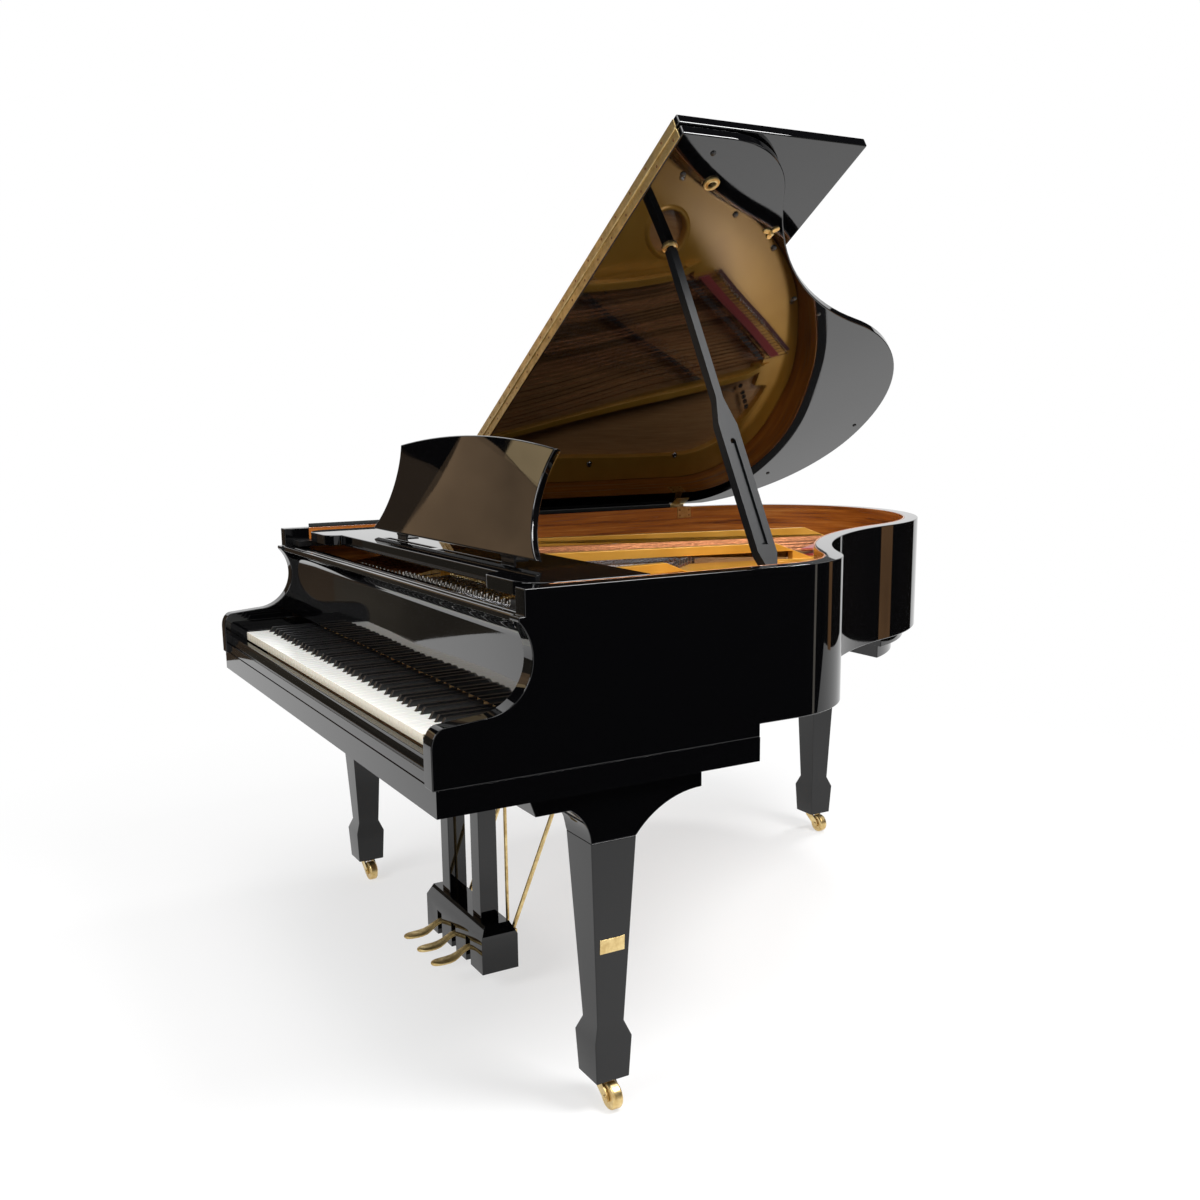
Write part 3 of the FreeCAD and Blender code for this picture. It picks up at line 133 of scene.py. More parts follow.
# A planed wood with its grain along one axis: long soft streaks and fine pores
def makeWood(name, palette, streakMm, along, roughness=0.4, coat=0.0):
    material, shader = newMaterial(name, IOR=1.5, Coat_Weight=coat, Coat_Roughness=0.12)
    where = addNode(material, "ShaderNodeTexCoord")
    stretch = [perMetre(streakMm)] * 3
    for axis in along:
        stretch[axis] = perMetre(streakMm) * 0.03
    mapped = addNode(material, "ShaderNodeMapping", {"Vector": where.outputs["Object"], "Scale": stretch})
    streak = addNode(material, "ShaderNodeTexNoise",
                     {"Vector": mapped.outputs["Vector"], "Scale": 1.0, "Detail": 6.0, "Roughness": 0.62,
                      "Distortion": 0.4})
    ramp = addNode(material, "ShaderNodeValToRGB", {"Fac": streak.outputs["Fac"]})
    stops = ramp.color_ramp.elements
    stops[0].position, stops[1].position = 0.3, 0.72
    stops[0].color, stops[1].color = linear(palette[0]), linear(palette[-1])
    for number, tone in enumerate(palette[1:-1]):
        stops.new(0.3 + 0.42 * (number + 1) / (len(palette) - 1)).color = linear(tone)
    wire(material, ramp.outputs["Color"], shader.inputs["Base Color"])
    rough = addNode(material, "ShaderNodeMapRange",
                    {"Value": streak.outputs["Fac"], "To Min": roughness + 0.08, "To Max": roughness - 0.05})
    wire(material, rough.outputs["Result"], shader.inputs["Roughness"])
    bump = addNode(material, "ShaderNodeBump", {"Height": streak.outputs["Fac"], "Strength": 0.08, "Distance": 0.0006})
    wire(material, bump.outputs["Normal"], shader.inputs["Normal"])
    return material


# Cast iron sprayed with bronze powder paint: warm gold, satin, with the sand mould's faint pebble
def makeBronzePaint():
    material, shader = newMaterial("castIronBronzePowderPaint", Metallic=0.3, IOR=1.5, Coat_Weight=0.35,
                                   Coat_Roughness=0.2)
    where = addNode(material, "ShaderNodeTexCoord")
    cloud = addNode(material, "ShaderNodeTexNoise",
                    {"Vector": where.outputs["Object"], "Scale": perMetre(120), "Detail": 4.0})
    ramp = addNode(material, "ShaderNodeValToRGB", {"Fac": cloud.outputs["Fac"]})
    stops = ramp.color_ramp.elements
    stops[0].position, stops[1].position = 0.3, 0.75
    stops[0].color, stops[1].color = linear("#c8902f"), linear("#dca646")
    wire(material, ramp.outputs["Color"], shader.inputs["Base Color"])
    pebble = addNode(material, "ShaderNodeTexNoise",
                     {"Vector": where.outputs["Object"], "Scale": perMetre(2.5), "Detail": 2.0})
    rough = addNode(material, "ShaderNodeMapRange", {"Value": pebble.outputs["Fac"], "To Min": 0.28, "To Max": 0.42})
    wire(material, rough.outputs["Result"], shader.inputs["Roughness"])
    bump = addNode(material, "ShaderNodeBump", {"Height": pebble.outputs["Fac"], "Strength": 0.12, "Distance": 0.0006})
    wire(material, bump.outputs["Normal"], shader.inputs["Normal"])
    return material


# Drawn or cast metal, buffed: brass dulls in soft patches
def makeMetal(name, bright, dull, roughness, patchMm=25):
    material, shader = newMaterial(name, Metallic=1.0)
    where = addNode(material, "ShaderNodeTexCoord")
    patch = addNode(material, "ShaderNodeTexNoise",
                    {"Vector": where.outputs["Object"], "Scale": perMetre(patchMm), "Detail": 5.0, "Roughness": 0.65})
    ramp = addNode(material, "ShaderNodeValToRGB", {"Fac": patch.outputs["Fac"]})
    stops = ramp.color_ramp.elements
    stops[0].position, stops[1].position = 0.35, 0.65
    stops[0].color, stops[1].color = linear(dull), linear(bright)
    wire(material, ramp.outputs["Color"], shader.inputs["Base Color"])
    rough = addNode(material, "ShaderNodeMapRange",
                    {"Value": patch.outputs["Fac"], "From Min": 0.35, "From Max": 0.65,
                     "To Min": roughness * 1.7, "To Max": roughness})
    wire(material, rough.outputs["Result"], shader.inputs["Roughness"])
    return material


# Pressed wool felt: no gloss, a soft fuzz at the edges
def makeFelt(name, tone, deep, fuzz=0.5):
    material, shader = newMaterial(name, Roughness=0.95, Sheen_Weight=fuzz, Sheen_Roughness=0.6)
    where = addNode(material, "ShaderNodeTexCoord")
    fibre = addNode(material, "ShaderNodeTexNoise",
                    {"Vector": where.outputs["Object"], "Scale": perMetre(1.5), "Detail": 4.0, "Distortion": 1.5})
    ramp = addNode(material, "ShaderNodeValToRGB", {"Fac": fibre.outputs["Fac"]})
    stops = ramp.color_ramp.elements
    stops[0].color, stops[1].color = linear(deep), linear(tone)
    wire(material, ramp.outputs["Color"], shader.inputs["Base Color"])
    bump = addNode(material, "ShaderNodeBump", {"Height": fibre.outputs["Fac"], "Strength": 0.5, "Distance": 0.0006})
    wire(material, bump.outputs["Normal"], shader.inputs["Normal"])
    return material


# Behind the fallboard a key's covering ends and its bare limewood lever goes on
def coverKey(material, shader, covering):
    place = addNode(material, "ShaderNodeTexCoord")
    parts = addNode(material, "ShaderNodeSeparateXYZ", {"Vector": place.outputs["Object"]})
    edge = spot(0, keyCoverEnd, 0).y
    behind = addNode(material, "ShaderNodeMapRange",
                     {"Value": parts.outputs["Y"], "From Min": edge, "From Max": edge + 5e-4})
    lime = addNode(material, "ShaderNodeTexNoise",
                   {"Vector": place.outputs["Object"], "Scale": perMetre(5), "Detail": 3.0})
    bare = addNode(material, "ShaderNodeValToRGB", {"Fac": lime.outputs["Fac"]})
    bare.color_ramp.elements[0].color, bare.color_ramp.elements[1].color = linear("#b08a5c"), linear("#cfae80")
    both = addNode(material, "ShaderNodeMix", {"Factor": behind.outputs["Result"], mixFirst: covering,
                                               mixSecond: bare.outputs["Color"]}, data_type="RGBA")
    wire(material, both.outputs[mixResult], shader.inputs["Base Color"])


# Moulded key covering, buffed; every face of a key that does not face up is painted a darker, creamier white than its
# top: painted shade
def makeKeyWhite():
    material, shader = newMaterial("acrylicKeyCoveringWhite", IOR=1.49, Subsurface_Weight=0.04)
    shape = addNode(material, "ShaderNodeNewGeometry")
    parts = addNode(material, "ShaderNodeSeparateXYZ", {"Vector": shape.outputs["Normal"]})
    facing = addNode(material, "ShaderNodeMapRange",
                     {"Value": parts.outputs["Z"], "From Min": 0.3, "From Max": 0.8})
    ramp = addNode(material, "ShaderNodeValToRGB", {"Fac": facing.outputs["Result"]})
    # darker, creamier white for fronts and sides, lighter for tops: painted shade
    ramp.color_ramp.elements[0].color = linear("#e3dac6")
    ramp.color_ramp.elements[1].color = linear("#f4f3ee")
    coverKey(material, shader, ramp.outputs["Color"])
    where = addNode(material, "ShaderNodeTexCoord")
    touch = addNode(material, "ShaderNodeTexNoise",
                    {"Vector": where.outputs["Object"], "Scale": perMetre(18), "Detail": 3.0})
    rough = addNode(material, "ShaderNodeMapRange", {"Value": touch.outputs["Fac"], "To Min": 0.12, "To Max": 0.26})
    wire(material, rough.outputs["Result"], shader.inputs["Roughness"])
    return material


# Phenolic sharps, satin with finger polish on the top
def makeKeyBlack():
    material, shader = newMaterial("phenolicKeySatinBlack", IOR=1.55)
    where = addNode(material, "ShaderNodeTexCoord")
    touch = addNode(material, "ShaderNodeTexNoise",
                    {"Vector": where.outputs["Object"], "Scale": perMetre(9), "Detail": 4.0})
    shade = addNode(material, "ShaderNodeValToRGB", {"Fac": touch.outputs["Fac"]})
    shade.color_ramp.elements[0].color, shade.color_ramp.elements[1].color = linear("#0e0e10"), linear("#131315")
    coverKey(material, shader, shade.outputs["Color"])
    rough = addNode(material, "ShaderNodeMapRange", {"Value": touch.outputs["Fac"], "To Min": 0.24, "To Max": 0.42})
    wire(material, rough.outputs["Result"], shader.inputs["Roughness"])
    return material


# Maple bridge with black lead rubbed into its notched top: pale sides, a dull grey top
def makeBridgeMaple():
    material, shader = newMaterial("mapleBridgeGraphiteTop", IOR=1.5, Roughness=0.45)
    where = addNode(material, "ShaderNodeTexCoord")
    mapped = addNode(material, "ShaderNodeMapping",
                     {"Vector": where.outputs["Object"], "Scale": (perMetre(4), perMetre(60), perMetre(4))})
    grain = addNode(material, "ShaderNodeTexNoise", {"Vector": mapped.outputs["Vector"], "Scale": 1.0, "Detail": 4.0})
    side = addNode(material, "ShaderNodeValToRGB", {"Fac": grain.outputs["Fac"]})
    side.color_ramp.elements[0].color, side.color_ramp.elements[1].color = linear("#a87c4e"), linear("#d8b084")
    top = addNode(material, "ShaderNodeValToRGB", {"Fac": grain.outputs["Fac"]})
    top.color_ramp.elements[0].color, top.color_ramp.elements[1].color = linear("#2e2f31"), linear("#5c5e60")
    shape = addNode(material, "ShaderNodeNewGeometry")
    parts = addNode(material, "ShaderNodeSeparateXYZ", {"Vector": shape.outputs["Normal"]})
    facing = addNode(material, "ShaderNodeMapRange", {"Value": parts.outputs["Z"], "From Min": 0.8, "From Max": 0.95})
    both = addNode(material, "ShaderNodeMix", {"Factor": facing.outputs["Result"], mixFirst: side.outputs["Color"],
                                               mixSecond: top.outputs["Color"]}, data_type="RGBA")
    wire(material, both.outputs[mixResult], shader.inputs["Base Color"])
    return material


blackLacquer = makeBlackLacquer("polyesterLacquerBuffedBlack", 1.46)
# lid, desk and fallboard were buffed further
mirrorLacquer = makeBlackLacquer("polyesterLacquerMirrorBlack", 1.56, 0.2, 6.0)
satinBlack = makeSatinBlack("stainedWoodSatinBlack", "#0b0b0c")
propBlack = makeSatinBlack("ebonisedBeechSatin", "#121315", 1.3)
rimVeneer = makeWood("sapeleVeneerSemiGloss", ["#5a2a10", "#9a5620", "#b46c2a", "#c98a45"], 9, (0, 1), 0.25, 0.5)
beech = makeWood("beechPlanedClearLacquer", ["#a87a4c", "#c6996a", "#d8b183"], 5, (1,), 0.42)
spruce = makeWood("spruceQuarterSawnVarnish", ["#a87648", "#bd8d5c", "#cda06e"], 3, (1,), 0.35, 0.3)
bridgeMaple = makeBridgeMaple()
bronzePaint = makeBronzePaint()
brass = makeMetal("brassCastBuffedLacquered", "#ecd49a", "#c8a86c", 0.28)
wornBrass = makeMetal("brassCastFootWorn", "#e4cc92", "#bda066", 0.36)  # soles keep it bright but not glossy
springSteel = makeMetal("musicWireDrawnSteel", "#c9c9cc", "#98989c", 0.2, 8)
copperWire = makeMetal("copperWoundString", "#a06a48", "#6b432c", 0.3, 8)
nickel = makeMetal("tuningPinNickelPlate", "#a9a6a0", "#6f6c68", 0.38, 6)
redFelt = makeFelt("woolFeltPressedRed", "#b0201f", "#7a1013")
creamFelt = makeFelt("woolFeltPressedCream", "#d9d2bf", "#b7ad96")
darkFelt = makeFelt("woolFeltPressedMaroon", "#64141c", "#3c0a10")
greyFelt = makeFelt("woolFeltShornGrey", "#2a2c2c", "#161818", 0.0)
keyWhite = makeKeyWhite()
keyBlack = makeKeyBlack()
print("materials ready:", len(bpy.data.materials))


def newPiece(name, points, faces):
    mesh = bpy.data.meshes.new(name)
    mesh.from_pydata([tuple(p) for p in points], [], faces)
    mesh.validate()
    piece = bpy.data.objects.new(name, mesh)
    bpy.context.collection.objects.link(piece)
    return piece


# Rounds the edges of a piece, shades it, gives it a finish and hangs it on its body
def dress(piece, body, material, stands=(), bevelMm=0.0, segments=3, sharpDeg=32):
    mesh = piece.data
    shape = bmesh.new()
    shape.from_mesh(mesh)
    bmesh.ops.recalc_face_normals(shape, faces=shape.faces)
    shape.to_mesh(mesh)
    shape.free()
    mesh.materials.clear()
    mesh.materials.append(material)
    mesh.polygons.foreach_set("use_smooth", [True] * len(mesh.polygons))
    if bevelMm:
        bevel = piece.modifiers.new("rounding", "BEVEL")
        bevel.width = bevelMm / 1000
        bevel.segments = segments
        bevel.limit_method = "ANGLE"
        bevel.angle_limit = math.radians(sharpDeg)
        bevel.use_clamp_overlap = True
        even = piece.modifiers.new("even", "WEIGHTED_NORMAL")
        even.keep_sharp = False
    else:
        mesh.set_sharp_from_angle(angle=math.radians(sharpDeg))
    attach(piece, body)
    if stands:
        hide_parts(*stands)
    return piece


# A solid between two rings of points, one facing the other
def prism(name, ringA, ringB):
    count = len(ringA)
    faces = [list(range(count))[::-1], list(range(count, 2 * count))]
    for i in range(count):
        j = (i + 1) % count
        faces.append([i, j, count + j, count + i])
    return newPiece(name, list(ringA) + list(ringB), faces)


# A fresh mesh with the shape of a CAD node, welded, with its flat faces made whole
def nodeCopy(node, name):
    mesh = frame["nodes"][node].data.copy()
    shape = bmesh.new()
    shape.from_mesh(mesh)
    bmesh.ops.remove_doubles(shape, verts=shape.verts, dist=weldGap)
    bmesh.ops.dissolve_limit(shape, angle_limit=math.radians(flatDeg), verts=shape.verts, edges=shape.edges)
    shape.to_mesh(mesh)
    shape.free()
    piece = bpy.data.objects.new(name, mesh)
    bpy.context.collection.objects.link(piece)
    return piece


# Adds one turned form to shared lists: radius and height pairs along an axis
def turn(points, faces, place, axis, profile, sides=12, loop=False):
    side = axis.orthogonal().normalized()
    other = axis.cross(side)
    start, rings = len(points), len(profile)
    for radius, height in profile:
        for i in range(sides):
            t = 2 * math.pi * i / sides
            outward = side * math.cos(t) + other * math.sin(t)
            points.append(place + axis * (height / 1000) + outward * (radius / 1000))
    for ring in range(rings if loop else rings - 1):
        a, b = start + ring * sides, start + (ring + 1) % rings * sides
        for i in range(sides):
            j = (i + 1) % sides
            faces.append([a + i, a + j, b + j, b + i])
    if not loop:
        faces.append([start + i for i in range(sides)][::-1])
        faces.append([start + (rings - 1) * sides + i for i in range(sides)])


def turnedSet(name, places, axis, profile, body, material, sides=12, loop=False, stands=()):
    points, faces = [], []
    for place in places:
        turn(points, faces, place, axis, profile, sides, loop)
    return dress(newPiece(name, points, faces), body, material, stands, 0, 3, 40)


# Adds one round wire that follows a path to shared lists
def wireRun(points, faces, path, radiusMm, sides=6):
    start = len(points)
    for k, place in enumerate(path):
        ahead = (path[min(k + 1, len(path) - 1)] - path[max(k - 1, 0)]).normalized()
        side = ahead.cross(up).normalized()
        over = side.cross(ahead)
        for i in range(sides):
            t = 2 * math.pi * i / sides
            points.append(place + (side * math.cos(t) + over * math.sin(t)) * (radiusMm / 1000))
    for k in range(len(path) - 1):
        a = start + k * sides
        for i in range(sides):
            j = (i + 1) % sides
            faces.append([a + i, a + j, a + sides + j, a + sides + i])
    faces.append([start + i for i in range(sides)][::-1])
    faces.append([start + (len(path) - 1) * sides + i for i in range(sides)])


def bodyOf(node):
    for body, nodes in frame["record"]["behaviour"]["bodies"].items():
        if node in nodes:
            return body


def rounded(node, material, bevelMm, segments=3, sharpDeg=32):
    name = "".join(word.capitalize() if i else word for i, word in enumerate(node.split("_")))
    piece = nodeCopy(node, name)
    return dress(piece, bodyOf(node), material, (node,), bevelMm, segments, sharpDeg)


def paint(node, material):
    mesh = frame["nodes"][node].data
    mesh.materials.clear()
    mesh.materials.append(material)


def arc(centre, radius, first, last, stepDeg=3):
    count = max(2, int(abs(last - first) / stepDeg + 0.5))
    angles = [math.radians(first + (last - first) * i / count) for i in range(count + 1)]
    return [(centre[0] + radius * math.cos(t), centre[1] + radius * math.sin(t)) for t in angles]


def arcThrough(start, middle, end, count=16):
    (ax, ay), (bx, by), (cx, cy) = start, middle, end
    d = 2 * (ax * (by - cy) + bx * (cy - ay) + cx * (ay - by))
    a, b, c = ax * ax + ay * ay, bx * bx + by * by, cx * cx + cy * cy
    ux = (a * (by - cy) + b * (cy - ay) + c * (ay - by)) / d
    uy = (a * (cx - bx) + b * (ax - cx) + c * (bx - ax)) / d
    radius = math.hypot(ax - ux, ay - uy)
    angles = [math.atan2(p[1] - uy, p[0] - ux) for p in (start, middle, end)]
    sweep = (angles[2] - angles[0]) % (2 * math.pi)
    if (angles[1] - angles[0]) % (2 * math.pi) > sweep:
        sweep -= 2 * math.pi
    return [(ux + radius * math.cos(angles[0] + sweep * i / count),
             uy + radius * math.sin(angles[0] + sweep * i / count)) for i in range(count + 1)]


# Plan of the case: straight treble side, bulge, waist, round tail, straight spine
plan = {"width": 1480, "length": 1880, "trebleSide": 750, "bulgeRadius": 230, "waistRadius": 900,
        "tailTreble": 560, "tailBass": 400}
halfWidth = plan["width"] / 2


def planCurve(inset, stepDeg=1.5):
    bulge = (halfWidth - plan["bulgeRadius"], plan["trebleSide"])
    tailX = plan["tailBass"] - halfWidth
    bassTail = (tailX, plan["length"] - plan["tailBass"])
    trebleTail = (tailX, plan["length"] - plan["tailTreble"])
    near, far = plan["bulgeRadius"] + plan["waistRadius"], plan["tailTreble"] + plan["waistRadius"]
    runX, runY = trebleTail[0] - bulge[0], trebleTail[1] - bulge[1]
    runSquare = runX ** 2 + runY ** 2
    share = (runSquare + near ** 2 - far ** 2) / (2 * runSquare)
    off = math.sqrt(near ** 2 / runSquare - share ** 2)
    waist = (bulge[0] + share * runX + off * runY, bulge[1] + share * runY - off * runX)
    turnOut = math.degrees(math.atan2(waist[1] - bulge[1], waist[0] - bulge[0]))
    turnIn = math.degrees(math.atan2(waist[1] - trebleTail[1], waist[0] - trebleTail[0]))
    points = arc(bulge, plan["bulgeRadius"] - inset, 0, turnOut, stepDeg)
    points += arc(waist, -(plan["waistRadius"] + inset), turnOut, turnIn, stepDeg)[1:]
    points += arc(trebleTail, plan["tailTreble"] - inset, turnIn, 90, stepDeg)[1:]
    points += arc(bassTail, plan["tailBass"] - inset, 90, 180, stepDeg)[1:]
    return points


# Rim: both side walls carry the arm's curve, and the bent wall joins them round the tail
rim = {"top": 1004, "bottom": 710, "wall": 36, "armBottom": 685, "armTop": 795, "faceHeight": 67, "noseDepth": 24,
       "noseSteps": 12, "armFall": 6, "cheekY": 95, "cheekRadius": 92, "cheekOver": 43, "lipHeight": 8, "faceY": 174,
       "slabEnd": 661, "edgeMm": 2.2}


def armProfile():
    noseStart = rim["armBottom"] + rim["faceHeight"]
    noseEnd = rim["armTop"] - rim["armFall"]
    points = [(0, rim["armBottom"])]
    for i in range(rim["noseSteps"] + 1):
        t = math.radians(90 * i / rim["noseSteps"])
        points.append((rim["noseDepth"] * (1 - math.cos(t)), noseStart + (noseEnd - noseStart) * math.sin(t)))
    cheek = arc((rim["cheekY"], rim["armTop"] + rim["cheekRadius"]), rim["cheekRadius"], -90, rim["cheekOver"], 3)
    points += cheek
    lipTop = cheek[-1][1] + rim["lipHeight"]
    points += [(cheek[-1][0], lipTop), (rim["faceY"], lipTop), (rim["faceY"], rim["top"])]
    return points


def makeRim():
    points, faces = [], []
    profile = armProfile()
    tailSide = [(plan["trebleSide"], rim["top"]), (plan["trebleSide"], rim["bottom"])]
    foot = [(rim["slabEnd"], rim["bottom"]), (rim["slabEnd"], rim["armBottom"])]
    outline = profile + tailSide + foot
    topCorner, lowCorner = len(profile), len(profile) + 1

    def sideWall(sign, endY):
        start = len(points)
        moved = [(endY if y == plan["trebleSide"] else y, z) for y, z in outline]
        for x in (halfWidth, halfWidth - rim["wall"]):
            points.extend(spot(sign * x, y, z) for y, z in moved)
        n = len(outline)
        faces.append([start + i for i in range(n)])
        faces.append([start + n + i for i in range(n)])
        for i in range(n):
            j = (i + 1) % n
            if i != topCorner:
                faces.append([start + i, start + j, start + n + j, start + n + i])
        return [start + topCorner, start + lowCorner, start + n + topCorner, start + n + lowCorner]

    bassEnd = plan["length"] - plan["tailBass"]
    treble = sideWall(1, plan["trebleSide"])
    bass = sideWall(-1, bassEnd)
    outer, inner = planCurve(0)[1:-1], planCurve(rim["wall"])[1:-1]
    last = treble
    for (ox, oy), (ix, iy) in zip(outer, inner):
        start = len(points)
        points.extend([spot(ox, oy, rim["top"]), spot(ox, oy, rim["bottom"]),
                       spot(ix, iy, rim["top"]), spot(ix, iy, rim["bottom"])])
        here = [start, start + 1, start + 2, start + 3]
        for a, b in ((0, 1), (1, 3), (3, 2), (2, 0)):
            faces.append([last[a], last[b], here[b], here[a]])
        last = here
    for a, b in ((0, 1), (1, 3), (3, 2), (2, 0)):
        faces.append([last[a], last[b], bass[b], bass[a]])
    piece = newPiece("rimBentCase", points, faces)
    return dress(piece, "case", blackLacquer, ("outer_rim",), rim["edgeMm"], 3)


# A strip that follows the plan between two insets
def planStrip(name, outerInset, innerInset, frontY, low, high):
    outer = [(halfWidth - outerInset, frontY)] + planCurve(outerInset) + [(outerInset - halfWidth, frontY)]
    inner = [(halfWidth - innerInset, frontY)] + planCurve(innerInset) + [(innerInset - halfWidth, frontY)]
    points, faces = [], []
    for (ox, oy), (ix, iy) in zip(outer, inner):
        points.extend([spot(ox, oy, low), spot(ox, oy, high), spot(ix, iy, high), spot(ix, iy, low)])
    for k in range(len(outer) - 1):
        for a in range(4):
            b = (a + 1) % 4
            faces.append([4 * k + a, 4 * k + b, 4 * k + 4 + b, 4 * k + 4 + a])
    faces += [[0, 1, 2, 3], [4 * len(outer) - 4 + i for i in (3, 2, 1, 0)]]
    return newPiece(name, points, faces)


makeRim()
veneer = {"inset": 36.2, "thickness": 3.0, "front": 240, "low": 900, "high": 1004}
veneerStrip = planStrip("rimVeneerFace", veneer["inset"], veneer["inset"] + veneer["thickness"], veneer["front"],
                        veneer["low"], veneer["high"])
dress(veneerStrip, "case", rimVeneer, ("rim_veneer",), 0.8, 2)
for node, material in {"inner_rim": beech, "belly_rail": beech, "back_beams": beech, "soundboard": spruce,
                       "soundboard_ribs": spruce, "pin_block": beech, "action_frame": beech, "bridges": bridgeMaple,
                       "natural_hammers": creamFelt, "sharp_hammers": creamFelt, "string_felt": redFelt}.items():
    paint(node, material)
print("case ready")

# Keyboard and the black work around it
rounded("key_bed", blackLacquer, 2.0)
rounded("key_slip", blackLacquer, 1.2)
rounded("key_blocks", blackLacquer, 1.5)
rounded("natural_keys", keyWhite, 0.7, 2)
sharps = {"capEnd": 184, "runOn": 28}
sharpKeys = nodeCopy("sharp_keys", "sharpKeys")
for corner in sharpKeys.data.vertices:
    if abs(corner.co.y - spot(0, sharps["capEnd"], 0).y) < 5e-4:
        corner.co.y += sharps["runOn"] / 1000  # the caps run on under the fallboard
dress(sharpKeys, "sharps", keyBlack, ("sharp_keys",), 1.3, 3)
rounded("iron_plate", bronzePaint, 2.5)
rounded("dampers", satinBlack, 0.8, 2)

# Fallboard: an upright face that coves out under a cornice of two beads, drawn across the keyboard
fall = {"half": 703.7, "footY": 196, "footZ": 770, "rollZ": 910, "rollMm": 37.1, "rollDeg": 75.8, "lipZ": 946,
        "backBelly": (223, 870), "backFoot": (212, 770), "ledgeY": 220,
        "pinY": 212, "pinZ": 795, "pinMm": 5, "pinReach": 715.7,
        "cornice": [(168, 954.5), (169.2, 957), (172, 958), (177, 958), (178.6, 955.4), (183.6, 954.6), (185, 956.8),
                    (187.6, 958), (191, 958), (193, 956.6), (194, 953), (203.4, 952.4), (204.6, 954.6), (220, 954.6)]}


def makeFallboard():
    front = [(fall["footY"], fall["footZ"])]
    front += arc((fall["footY"] - fall["rollMm"], fall["rollZ"]), fall["rollMm"], 0, fall["rollDeg"], 2)
    rear = arcThrough((fall["ledgeY"], fall["lipZ"]), fall["backBelly"], fall["backFoot"], 16)
    profile = front + fall["cornice"] + rear
    ring = [[spot(x, y, z) for y, z in profile] for x in (-fall["half"], fall["half"])]
    piece = prism("fallboardWithCornice", *ring)
    dress(piece, "key_cover", mirrorLacquer, ("fallboard",), 0.5, 2, 24)
    pins = [spot(-fall["pinReach"], fall["pinY"], fall["pinZ"])]
    turnedSet("fallboardPivotPins", pins, Vector((1, 0, 0)), [(fall["pinMm"] - 0.6, 0), (fall["pinMm"], 0.6),
              (fall["pinMm"], 2 * fall["pinReach"] - 0.6), (fall["pinMm"] - 0.6, 2 * fall["pinReach"])],
              "key_cover", brass, 16)


makeFallboard()
print("keyboard ready")

# Strings: one, two or three wires to a note, each from its tuning pin over an agraffe and the bridge to a hitch pin
stringing = {"notes": 88, "wound": 28, "singles": 10, "front": 436, "span": 1180, "woundLong": 1250, "woundShort": 906,
             "woundSweep": 312, "woundSweepShort": 195, "plainLong": 1090, "plainShort": 90, "plainSweep": 170,
             "tail": 100, "woundZ": 930, "plainZ": 918, "pitch": 3.6, "singleMm": 1.6, "doubleMm": 1.2, "plainMm": 0.6,
             "agraffeY": 422, "pinY": 262, "pinStep": 24, "web": 901, "flange": 911, "firstHitch": 45,
             "pinSpread": 1.2, "coilSide": 4, "coilRise": 7, "bridgePins": ((-8, -1.4), (8, 1.4)), "pinGrip": 0.6,
             "pinSink": 1.0, "barFronts": (-612.1, -185.7, 245.7, 520.0), "barClear": 18,
             "braid": (34, 68, 926, 933.4), "listing": (106, 122, 911, 914),
             "coil": [(3.4, 0), (3.4, 4), (4.4, 5), (3.5, 5.8), (4.4, 6.6), (3.5, 7.4), (4.4, 8.2), (3.4, 9.4),
                      (3.4, 20), (2.8, 29), (2.1, 30)]}


def stringEnds(note):
    x = stringing["span"] * note / (stringing["notes"] - 1) - stringing["span"] / 2
    wound = stringing["wound"]
    if note < wound:
        step = note / (wound - 1)
        length = stringing["woundLong"] + (stringing["woundShort"] - stringing["woundLong"]) * step
        sweep = stringing["woundSweep"] + (stringing["woundSweepShort"] - stringing["woundSweep"]) * step
    else:
        step = (note - wound) / (stringing["notes"] - 1 - wound)
        length = stringing["plainLong"] * (stringing["plainShort"] / stringing["plainLong"]) ** step
        sweep = -stringing["plainSweep"] * length / stringing["plainLong"]
    return (x, stringing["front"]), (x + sweep, stringing["front"] + length)


